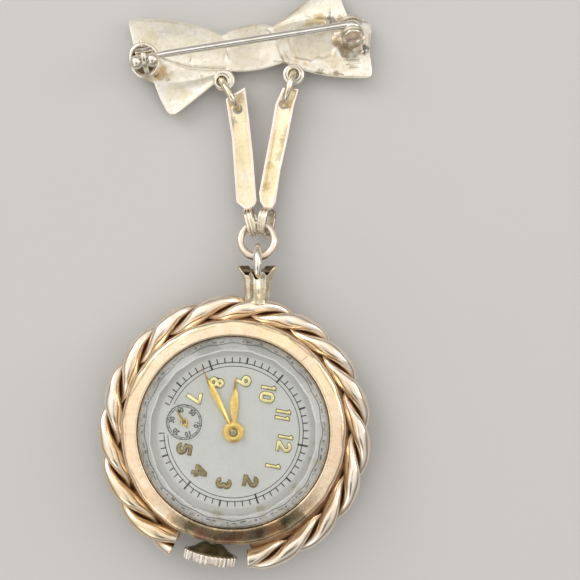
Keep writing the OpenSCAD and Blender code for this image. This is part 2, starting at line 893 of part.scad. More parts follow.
module pin_stem() {
    shaft = hinge_u - pin_tip_u;
    point = 2.6;
    // The wire swells evenly towards its knuckle
    root = 1.55;
    root_r = 0.39;
    color(silver_gilt)
        at_hinge()
            difference() {
                union() {
                    translate([0, 0, -knuckle_half])
                        cylinder(r = knuckle_r, h = 2 * knuckle_half, $fn = small_fn);
                    translate([-root, stem_rise, 0])
                        rotate([0, 90, 0])
                            cylinder(r1 = pin_r, r2 = root_r, h = root,
                                $fn = small_fn);
                    translate([-shaft + point, stem_rise, 0])
                        rotate([0, 90, 0])
                            cylinder(r = pin_r, h = shaft - point - root,
                                $fn = small_fn);
                    translate([-shaft, stem_rise, 0])
                        rotate([0, 90, 0])
                            cylinder(r1 = 0.06, r2 = pin_r, h = point,
                                $fn = small_fn);
                }
                cylinder(r = rivet_r + 0.04, h = 4, center = true, $fn = small_fn);
            }
}

// Catch roller: a slotted tube in the band with two ball knobs to turn it by
knob_r = 0.46;
knob_out = 0.96;
knob_along = 0.78;
knob_turn = 64;

module catch_roller() {
    bore = 0.42;
    tube_half = 0.78;
    color(silver_gilt)
        at_catch()
            difference() {
                union() {
                    translate([0, 0, -tube_half])
                        cylinder(r = band_in_r - 0.06, h = 2 * tube_half,
                            $fn = small_fn);
                    for (side = [-1, 1])
                        rotate([0, 0, knob_turn])
                            translate([knob_out, 0, side * knob_along])
                                sphere(r = knob_r, $fn = small_fn);
                }
                cylinder(r = bore, h = 4, center = true, $fn = small_fn);
                translate([0, -bore, -2])
                    cube([3, 2 * bore, 4]);
            }
}

bow_brooch();
hinge_rivet();
pin_stem();
catch_roller();
upper_ring_left();
upper_ring_right();
bar_left();
bar_right();
main_ring();
bail();
pendant_cap();
case_back();
case_middle();
movement();
dial();
bezel();
crystal();
rope_strand_1();
rope_strand_2();
crown_stem();
crown();
hour_hand();
minute_hand();
seconds_hand();
numeral_1();
numeral_2();
numeral_3();
numeral_4();
numeral_5();
numeral_7();
numeral_8();
numeral_9();
numeral_10_one();
numeral_10_zero();
numeral_11_first();
numeral_11_second();
numeral_12_one();
numeral_12_two();
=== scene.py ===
from math import asin, atan2, copysign, cos, degrees, exp, hypot, pi, radians, sin, tau

import bpy
from mathutils import Matrix, Vector, noise


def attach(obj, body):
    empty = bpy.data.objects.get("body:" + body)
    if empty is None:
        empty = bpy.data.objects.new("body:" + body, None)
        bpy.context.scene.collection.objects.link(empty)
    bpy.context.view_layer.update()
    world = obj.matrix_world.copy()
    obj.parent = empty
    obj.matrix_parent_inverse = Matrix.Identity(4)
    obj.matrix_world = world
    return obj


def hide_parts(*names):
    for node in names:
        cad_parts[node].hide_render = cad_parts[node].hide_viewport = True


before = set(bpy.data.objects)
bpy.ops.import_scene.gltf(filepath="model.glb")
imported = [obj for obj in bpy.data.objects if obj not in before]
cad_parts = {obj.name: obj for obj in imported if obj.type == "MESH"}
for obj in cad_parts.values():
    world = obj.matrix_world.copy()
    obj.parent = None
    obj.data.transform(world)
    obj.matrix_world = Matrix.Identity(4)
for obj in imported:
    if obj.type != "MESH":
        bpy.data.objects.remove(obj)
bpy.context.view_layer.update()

mm = 0.001


# Small helpers for working on one object at a time

def deselectAll():
    if bpy.context.mode != "OBJECT":
        bpy.ops.object.mode_set(mode="OBJECT")
    bpy.ops.object.select_all(action="DESELECT")


def makeActive(piece):
    deselectAll()
    piece.select_set(True)
    bpy.context.view_layer.objects.active = piece


def editAll(piece):
    makeActive(piece)
    bpy.ops.object.mode_set(mode="EDIT")
    bpy.ops.mesh.select_all(action="SELECT")


def leaveEdit():
    bpy.ops.object.mode_set(mode="OBJECT")


def newPiece(name):
    # Names the object that an operator has just made
    piece = bpy.context.active_object
    piece.name = name
    piece.data.name = name
    return piece


def addModifier(piece, kind, **settings):
    modifier = piece.modifiers.new(kind.title(), kind)
    for key, value in settings.items():
        setattr(modifier, key, value)


def applyModifiers(piece):
    makeActive(piece)
    for modifier in list(piece.modifiers):
        bpy.ops.object.modifier_apply(modifier=modifier.name)


def bakeTransform(piece):
    # Leaves the object at the origin, unturned, with its place in its mesh
    makeActive(piece)
    bpy.ops.object.transform_apply(location=True, rotation=True, scale=True)


def fixNormals(piece):
    editAll(piece)
    bpy.ops.mesh.remove_doubles(threshold=1e-7)
    bpy.ops.mesh.select_all(action="SELECT")
    bpy.ops.mesh.normals_make_consistent(inside=False)
    leaveEdit()


def smoothByAngle(piece, sharp):
    makeActive(piece)
    bpy.ops.object.shade_smooth_by_angle(angle=radians(sharp))


def bevelEdges(piece, width, segments, sharp, smooth):
    # Rounds over the edges sharper than one angle and shades smooth by the other; width in mm
    addModifier(piece, "BEVEL", width=width * mm, segments=segments, limit_method="ANGLE",
                angle_limit=radians(sharp))
    applyModifiers(piece)
    smoothByAngle(piece, smooth)


def dissolveFlat(piece, degreesOff):
    editAll(piece)
    bpy.ops.mesh.dissolve_limited(angle_limit=radians(degreesOff))
    leaveEdit()


def joinPieces(pieces, name):
    deselectAll()
    for piece in pieces:
        piece.select_set(True)
    bpy.context.view_layer.objects.active = pieces[0]
    bpy.ops.object.join()
    return newPiece(name)


def finishPiece(piece, body, material, nodes=()):
    piece.data.materials.clear()
    piece.data.materials.append(material)
    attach(piece, body)
    if nodes:
        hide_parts(*nodes)


def paintFaces(piece, material, picks):
    # The faces that the rule picks get a material of their own
    piece.data.materials.append(material)
    for face in piece.data.polygons:
        if picks(face):
            face.material_index = len(piece.data.materials) - 1


def copyNode(nodeName, newName):
    # A loose copy of a CAD node's mesh, merged so that modifiers can work on it
    piece = bpy.data.objects.new(newName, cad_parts[nodeName].data.copy())
    bpy.context.scene.collection.objects.link(piece)
    piece.data.name = newName
    editAll(piece)
    bpy.ops.mesh.remove_doubles(threshold=2e-7)
    leaveEdit()
    if piece.data.has_custom_normals:
        bpy.ops.mesh.customdata_custom_splitnormals_clear()
    return piece


def bevelNode(nodeName, newName, width, segments=2, flat=0.4, sharp=35):
    # The CAD shape with its hard edges rounded over
    piece = copyNode(nodeName, newName)
    dissolveFlat(piece, flat)
    bevelEdges(piece, width, segments, sharp, sharp)
    return piece


def gridPiece(name, columns, rows, place):
    # A grid whose points are moved to place(along, across), each from 0 to 1, in mm
    deselectAll()
    bpy.ops.mesh.primitive_grid_add(x_subdivisions=columns, y_subdivisions=rows, size=2)
    piece = newPiece(name)
    for vertex in piece.data.vertices:
        along, across = (vertex.co.x + 1) / 2, (vertex.co.y + 1) / 2
        vertex.co = [v * mm for v in place(along, across)]
    return piece


def closedSweep(name, columns, rows, place, sharp):
    # The same, with its long edges and its ends joined into one closed skin
    piece = gridPiece(name, columns, rows, place)
    fixNormals(piece)
    smoothByAngle(piece, sharp)
    return piece


def mix(a, b, k):
    return a + (b - a) * k


def clip(k):
    return min(1, max(0, k))


def ease(k):
    k = clip(k)
    return k * k * (3 - 2 * k)


def endShare(along, columns, shares=(0, 1)):
    # How much of its section a sweep has in the columns next to its two ends
    return shares[min(len(shares) - 1, round(min(along, 1 - along) * columns))]


def onCircle(radius, turn):
    return radius * cos(turn), radius * sin(turn)


def table(rows, k):
    # Straight-line reading of a table of (place, value) rows
    if k <= rows[0][0]:
        return rows[0][1]
    for (k0, v0), (k1, v1) in zip(rows, rows[1:]):
        if k <= k1:
            return mix(v0, v1, (k - k0) / (k1 - k0))
    return rows[-1][1]


def frameMap(piece, origin, xAxis, zAxis):
    # Lays a piece built round the origin into its own frame; origin in mm
    z = Vector(zAxis).normalized()
    x = Vector(xAxis)
    x = (x - z * x.dot(z)).normalized()
    y = z.cross(x)
    turn = Matrix((x, y, z)).transposed().to_4x4()
    piece.matrix_world = Matrix.Translation([v * mm for v in origin]) @ turn
    bakeTransform(piece)


# Camera, straight above, as the photograph was taken

viewSetup = {
    "place": (4.90, 12.34, 150.0),
    "lens": 103.1,
    "sensor": 36.0,
}


def addCamera():
    bpy.ops.object.camera_add(location=[v * mm for v in viewSetup["place"]])
    camera = bpy.context.active_object
    camera.data.lens = viewSetup["lens"]
    camera.data.sensor_width = viewSetup["sensor"]
    camera.data.clip_start = 0.002
    camera.data.clip_end = 5.0
    bpy.context.scene.camera = camera


addCamera()
print("camera placed")


# Shader building blocks

def newTree(name):
    material = bpy.data.materials.new(name)
    material.use_nodes = True
    tree = material.node_tree
    tree.nodes.clear()
    return material, tree


def addNode(tree, kind, inputs=None, **settings):
    node = tree.nodes.new(kind)
    for key, value in settings.items():
        setattr(node, key, value)
    for key, value in (inputs or {}).items():
        if isinstance(value, bpy.types.NodeSocket):
            tree.links.new(value, node.inputs[key])
        else:
            node.inputs[key].default_value = value
    return node


def rampNode(tree, factor, stops):
    node = tree.nodes.new("ShaderNodeValToRGB")
    while len(node.color_ramp.elements) < len(stops):
        node.color_ramp.elements.new(0.5)
    for element, (place, value) in zip(node.color_ramp.elements, stops):
        element.position = place
        element.color = (*value, 1)
    tree.links.new(factor, node.inputs[0])
    return node.outputs[0]


def mathNode(tree, operation, a, b=0.0, clamp=False):
    node = addNode(tree, "ShaderNodeMath", operation=operation, use_clamp=clamp)
    for socket, value in zip(node.inputs, (a, b)):
        if isinstance(value, bpy.types.NodeSocket):
            tree.links.new(value, socket)
        else:
            socket.default_value = value
    return node.outputs[0]


def plus(tree, a, b, clamp=False):
    return mathNode(tree, "ADD", a, b, clamp)


def times(tree, a, b, clamp=False):
    return mathNode(tree, "MULTIPLY", a, b, clamp)


def mixColor(tree, factor, a, b, blend="MIX"):
    node = addNode(tree, "ShaderNodeMix", data_type="RGBA", blend_type=blend)
    for index, value in ((0, factor), (6, a), (7, b)):
        if isinstance(value, bpy.types.NodeSocket):
            tree.links.new(value, node.inputs[index])
        elif index:
            node.inputs[index].default_value = (*value[:3], 1)
        else:
            node.inputs[index].default_value = value
    return node.outputs[2]


def patch(tree, color, mask, strength, tint, blend="MIX"):
    return mixColor(tree, times(tree, mask, strength), color, tint, blend)


def objectCoords(tree):
    return addNode(tree, "ShaderNodeTexCoord").outputs["Object"]


def noiseNode(tree, coords, size, detail, **more):
    inputs = {"Vector": coords, "Scale": size, "Detail": detail, **more}
    return addNode(tree, "ShaderNodeTexNoise", inputs).outputs["Fac"]


def vectorNode(tree, operation, a, b=None):
    # Gives a number for a length, distance or dot product, and a vector for the rest
    inputs = {0: a} if b is None else {0: a, 1: b}
    node = addNode(tree, "ShaderNodeVectorMath", inputs, operation=operation)
    return node.outputs["Value" if operation in ("LENGTH", "DISTANCE", "DOT_PRODUCT") else "Vector"]


def flatten(tree, coords):
    return vectorNode(tree, "MULTIPLY", coords, (1, 1, 0))


def rangeNode(tree, value, low, high, toLow=0.0, toHigh=1.0, kind="SMOOTHSTEP"):
    inputs = {"Value": value, "From Min": low, "From Max": high, "To Min": toLow, "To Max": toHigh}
    return addNode(tree, "ShaderNodeMapRange", inputs, interpolation_type=kind).outputs[0]


def surface(material, tree, shader):
    addNode(tree, "ShaderNodeOutputMaterial", {"Surface": shader.outputs[0]})
    return material


def metalShader(material, tree, color, rough, height, bump, deep=0.00003, metallic=1.0):
    relief = addNode(tree, "ShaderNodeBump", {"Height": height, "Strength": bump, "Distance": deep})
    shader = addNode(tree, "ShaderNodeBsdfPrincipled",
                     {"Base Color": color, "Roughness": rough, "Metallic": metallic,
                      "Normal": relief.outputs[0]})
    return surface(material, tree, shader)


def plainMaterial(name, first, second, size, rough):
    # A matt surface that drifts between two colours
    material, tree = newTree(name)
    color = mixColor(tree, noiseNode(tree, objectCoords(tree), size, 3.0), first, second)
    shader = addNode(tree, "ShaderNodeBsdfPrincipled", {"Base Color": color, "Roughness": rough})
    return surface(material, tree, shader)


def makeWornMetalGroup():
    # Colour drift, tarnish clouds, fine scratches and grain, shared by every metal
    group = bpy.data.node_groups.new("wornMetal", "ShaderNodeTree")
    for name, value in (("Base", (0.9, 0.8, 0.6, 1)), ("Deep", (0.6, 0.45, 0.25, 1)),
                        ("Pale", (1, 0.95, 0.85, 1)), ("Cloud Size", 700.0), ("Tarnish", 0.4),
                        ("Gloss", 0.15), ("Haze", 0.12)):
        kind = "NodeSocketFloat" if isinstance(value, float) else "NodeSocketColor"
        group.interface.new_socket(name=name, in_out="INPUT", socket_type=kind).default_value = value
    for name, kind in (("Color", "NodeSocketColor"), ("Roughness", "NodeSocketFloat"),
                       ("Height", "NodeSocketFloat")):
        group.interface.new_socket(name=name, in_out="OUTPUT", socket_type=kind)
    entry = group.nodes.new("NodeGroupInput").outputs
    coords = objectCoords(group)
    clouds = noiseNode(group, coords, entry["Cloud Size"], 5.0, Roughness=0.6)
    fine = noiseNode(group, coords, times(group, entry["Cloud Size"], 5.0), 4.0, Roughness=0.65)
    stretched = addNode(group, "ShaderNodeMapping",
                        {"Vector": coords, "Rotation": (0, 0, 0.6), "Scale": (900, 14000, 5000)})
    scratch = noiseNode(group, stretched.outputs[0], 1.0, 2.0)
    cloudMask = rampNode(group, clouds, [(0.42, (0, 0, 0)), (0.68, (1, 1, 1))])
    fineMask = rampNode(group, fine, [(0.38, (0, 0, 0)), (0.75, (1, 1, 1))])
    paleMask = rampNode(group, clouds, [(0.3, (1, 1, 1)), (0.5, (0, 0, 0))])
    tarnish = times(group, cloudMask, entry["Tarnish"])
    speckle = times(group, fineMask, times(group, tarnish, 0.6))
    color = patch(group, entry["Base"], paleMask, 0.5, entry["Pale"])
    color = mixColor(group, plus(group, times(group, tarnish, 0.7), speckle, True), color, entry["Deep"])
    rough = plus(group, entry["Gloss"], times(group, fine, entry["Haze"]))
    rough = plus(group, rough, times(group, tarnish, 0.12))
    height = plus(group, times(group, fine, 0.6), times(group, scratch, 0.25))
    addNode(group, "NodeGroupOutput", {"Color": color, "Roughness": rough, "Height": height})
    return group


wornMetal = makeWornMetalGroup()


def wornNode(tree, base, deep, pale, cloud, tarnish, gloss, haze):
    worn = addNode(tree, "ShaderNodeGroup", node_tree=wornMetal)
    for key, value in (("Base", (*base, 1)), ("Deep", (*deep, 1)), ("Pale", (*pale, 1)),
                       ("Cloud Size", cloud), ("Tarnish", tarnish), ("Gloss", gloss), ("Haze", haze)):
        worn.inputs[key].default_value = value
    return worn.outputs


def spotMask(tree, centre, radius):
    # 1 inside a ragged patch round a place given in mm, 0 outside it
    coords = objectCoords(tree)
    ragged = noiseNode(tree, coords, 1.7 / (radius * mm), 6.0, Roughness=0.65)
    away = vectorNode(tree, "DISTANCE", coords, [v * mm for v in centre])
    spread = mathNode(tree, "MULTIPLY_ADD", ragged, radius * mm * 2.8)
    spread.node.inputs[2].default_value = -radius * mm * 1.4
    return rangeNode(tree, plus(tree, away, spread), radius * mm, radius * mm * 0.5)


def lineMask(tree, start, end, width):
    # 1 along a line between two places in mm, seen from above, and 0 away from it: a worn line, painted
    # shade or a painted highlight
    coords = objectCoords(tree)
    first, way = [v * mm for v in (*start, 0)], [(b - a) * mm for a, b in zip((*start, 0), (*end, 0))]
    away = vectorNode(tree, "SUBTRACT", flatten(tree, coords), first)
    share = times(tree, vectorNode(tree, "DOT_PRODUCT", away, way), 1 / sum(v * v for v in way), True)
    near = addNode(tree, "ShaderNodeVectorMath", {0: way, "Scale": share}, operation="SCALE").outputs[0]
    reach = vectorNode(tree, "DISTANCE", away, near)
    reach = plus(tree, reach, times(tree, noiseNode(tree, coords, 2600.0, 4.0), width * mm))
    return rangeNode(tree, reach, 1.4 * width * mm, 0.4 * width * mm)


def metalMaterial(name, base, deep, pale, cloud, tarnish, gloss, haze, bump, spots=(), spotHeight=0.0,
                  lines=(), speckle=0.0):
    material, tree = newTree(name)
    worn = wornNode(tree, base, deep, pale, cloud, tarnish, gloss, haze)
    color = worn["Color"]
    for centre, radius, strength, tint in spots:
        # A spot that names no height of its own lies at spotHeight
        mask = spotMask(tree, (*centre, spotHeight)[:3], radius)
        color = patch(tree, color, mask, strength, tint)
    for start, end, width, strength, tint in lines:
        color = patch(tree, color, lineMask(tree, start, end, width), strength, tint)
    if speckle:
        coords = objectCoords(tree)
        for size, tint in ((5200.0, deep), (2300.0, [0.62 * v for v in deep])):
            fine = noiseNode(tree, coords, size, 6.0, Roughness=0.7)
            mask = rampNode(tree, fine, [(0.5, (0, 0, 0)), (0.66, (1, 1, 1))])
            color = patch(tree, color, mask, speckle, tint)
    return metalShader(material, tree, color, worn["Roughness"], worn["Height"], bump)


# Each metal: its name, its base, deep and pale colour, then cloud size, tarnish, gloss, haze and bump
metals = {
    "bow": ("bowSilverGilt", (0.93, 0.89, 0.8), (0.78, 0.69, 0.48), (0.98, 0.97, 0.94), 800.0, 0.45, 0.36,
            0.16, 0.6),
    "fittings": ("fittingsPaleGold", (0.85, 0.8, 0.7), (0.52, 0.4, 0.24), (0.92, 0.9, 0.84), 1200.0, 0.35,
                 0.12, 0.12, 0.15),
    "solder": ("solderWornGold", (0.8, 0.74, 0.62), (0.42, 0.32, 0.2), (0.9, 0.87, 0.8), 1300.0, 0.8, 0.34,
               0.2, 0.6),
    "pin": ("pinSteelGold", (0.92, 0.89, 0.83), (0.6, 0.5, 0.38), (0.97, 0.95, 0.92), 900.0, 0.4, 0.13, 0.1,
            0.2),
    "rivet": ("rivetCopperGold", (0.78, 0.6, 0.48), (0.42, 0.27, 0.18), (0.9, 0.78, 0.68), 1600.0, 0.7, 0.2,
              0.16, 0.3),
    "bars": ("barsYellowGold", (0.9, 0.79, 0.55), (0.66, 0.5, 0.24), (0.97, 0.92, 0.8), 480.0, 0.45, 0.2,
             0.14, 0.3),
    "rings": ("ringsPaleGold", (0.87, 0.79, 0.62), (0.58, 0.44, 0.25), (0.93, 0.89, 0.78), 1100.0, 0.35,
              0.12, 0.12, 0.15),
    "bezel": ("bezelRoseGold", (0.93, 0.74, 0.53), (0.74, 0.54, 0.33), (0.97, 0.86, 0.7), 560.0, 0.42, 0.12,
              0.12, 0.22),
    "case": ("caseRoseGold", (0.88, 0.71, 0.5), (0.62, 0.42, 0.24), (0.93, 0.82, 0.66), 420.0, 0.35, 0.14,
             0.12, 0.15),
    "crown": ("crownPaleGold", (0.86, 0.8, 0.72), (0.44, 0.36, 0.24), (0.93, 0.9, 0.86), 1500.0, 0.4, 0.18,
              0.16, 0.25),
    # Dark cone: greenish tarnish, and painted shade under the bezel
    "cone": ("coneTarnishAndShade", (0.24, 0.23, 0.15), (0.1, 0.1, 0.06), (0.42, 0.4, 0.28), 1500.0, 0.6, 0.3,
             0.2, 0.3),
    "lug": ("lugSilverGilt", (0.84, 0.81, 0.73), (0.6, 0.5, 0.34), (0.92, 0.9, 0.86), 900.0, 0.4, 0.16,
            0.14, 0.25),
    "polished": ("fittingsPolished", (0.88, 0.83, 0.75), (0.58, 0.46, 0.32), (0.93, 0.91, 0.87), 1000.0,
                 0.25, 0.09, 0.1, 0.1),
    "barEdges": ("barEdgesRubbed", (0.94, 0.82, 0.74), (0.74, 0.58, 0.48), (0.97, 0.91, 0.86), 900.0, 0.3,
                 0.12, 0.12, 0.15),
    "mainRing": ("mainRingWorn", (0.86, 0.76, 0.65), (0.62, 0.5, 0.4), (0.93, 0.87, 0.8), 900.0, 0.5, 0.26,
                 0.14, 0.2),
    # Painted shade for hollows and what lies in them
    "hollow": ("hollowPaintedShade", (0.22, 0.17, 0.11), (0.09, 0.06, 0.04), (0.4, 0.33, 0.24), 1500.0, 0.5, 0.4,
               0.2, 0.3),
    # Painted shade for the dark band in the gap under the rope
    "seat": ("ropeGapPaintedShade", (0.34, 0.2, 0.11), (0.12, 0.06, 0.03), (0.6, 0.4, 0.24), 900.0, 0.6, 0.35,
             0.2, 0.4),
    "arbor": ("arborDark", (0.42, 0.38, 0.24), (0.16, 0.13, 0.07), (0.6, 0.56, 0.42), 3000.0, 0.5, 0.25,
              0.15, 0.2),
    # Painted shade for the dark sheet under the figures
    "figureFeet": ("figureShadeRimsDark", (0.21, 0.17, 0.06), (0.1, 0.08, 0.03), (0.32, 0.26, 0.11), 2500.0, 0.4,
                   0.4, 0.15, 0.1),
    "loops": ("loopsWornGold", (0.9, 0.84, 0.73), (0.48, 0.37, 0.24), (0.94, 0.91, 0.85), 1300.0, 0.5, 0.16,
              0.16, 0.25),
    "cap": ("capWornGold", (0.78, 0.7, 0.53), (0.32, 0.23, 0.12), (0.92, 0.9, 0.84), 1100.0, 0.55, 0.15,
            0.16, 0.3),
    "steel": ("movementSteel", (0.4, 0.39, 0.34), (0.2, 0.18, 0.13), (0.55, 0.54, 0.5), 1500.0, 0.5, 0.25,
              0.15, 0.2),
    "gilt": ("handsGilt", (0.88, 0.62, 0.18), (0.58, 0.36, 0.09), (0.96, 0.8, 0.4), 2500.0, 0.3, 0.2, 0.14,
             0.12),
    "figures": ("figuresGilt", (0.97, 0.88, 0.46), (0.78, 0.64, 0.24), (1.0, 0.97, 0.76), 2500.0, 0.3, 0.18,
                0.14, 0.12),
    # Painted dark reflection for the gilt figures 2 to 5
    "bronze": ("numeralsPaintedReflection", (0.38, 0.3, 0.16), (0.16, 0.12, 0.06), (0.64, 0.56, 0.36), 2500.0, 0.4,
               0.22, 0.16, 0.12),
}
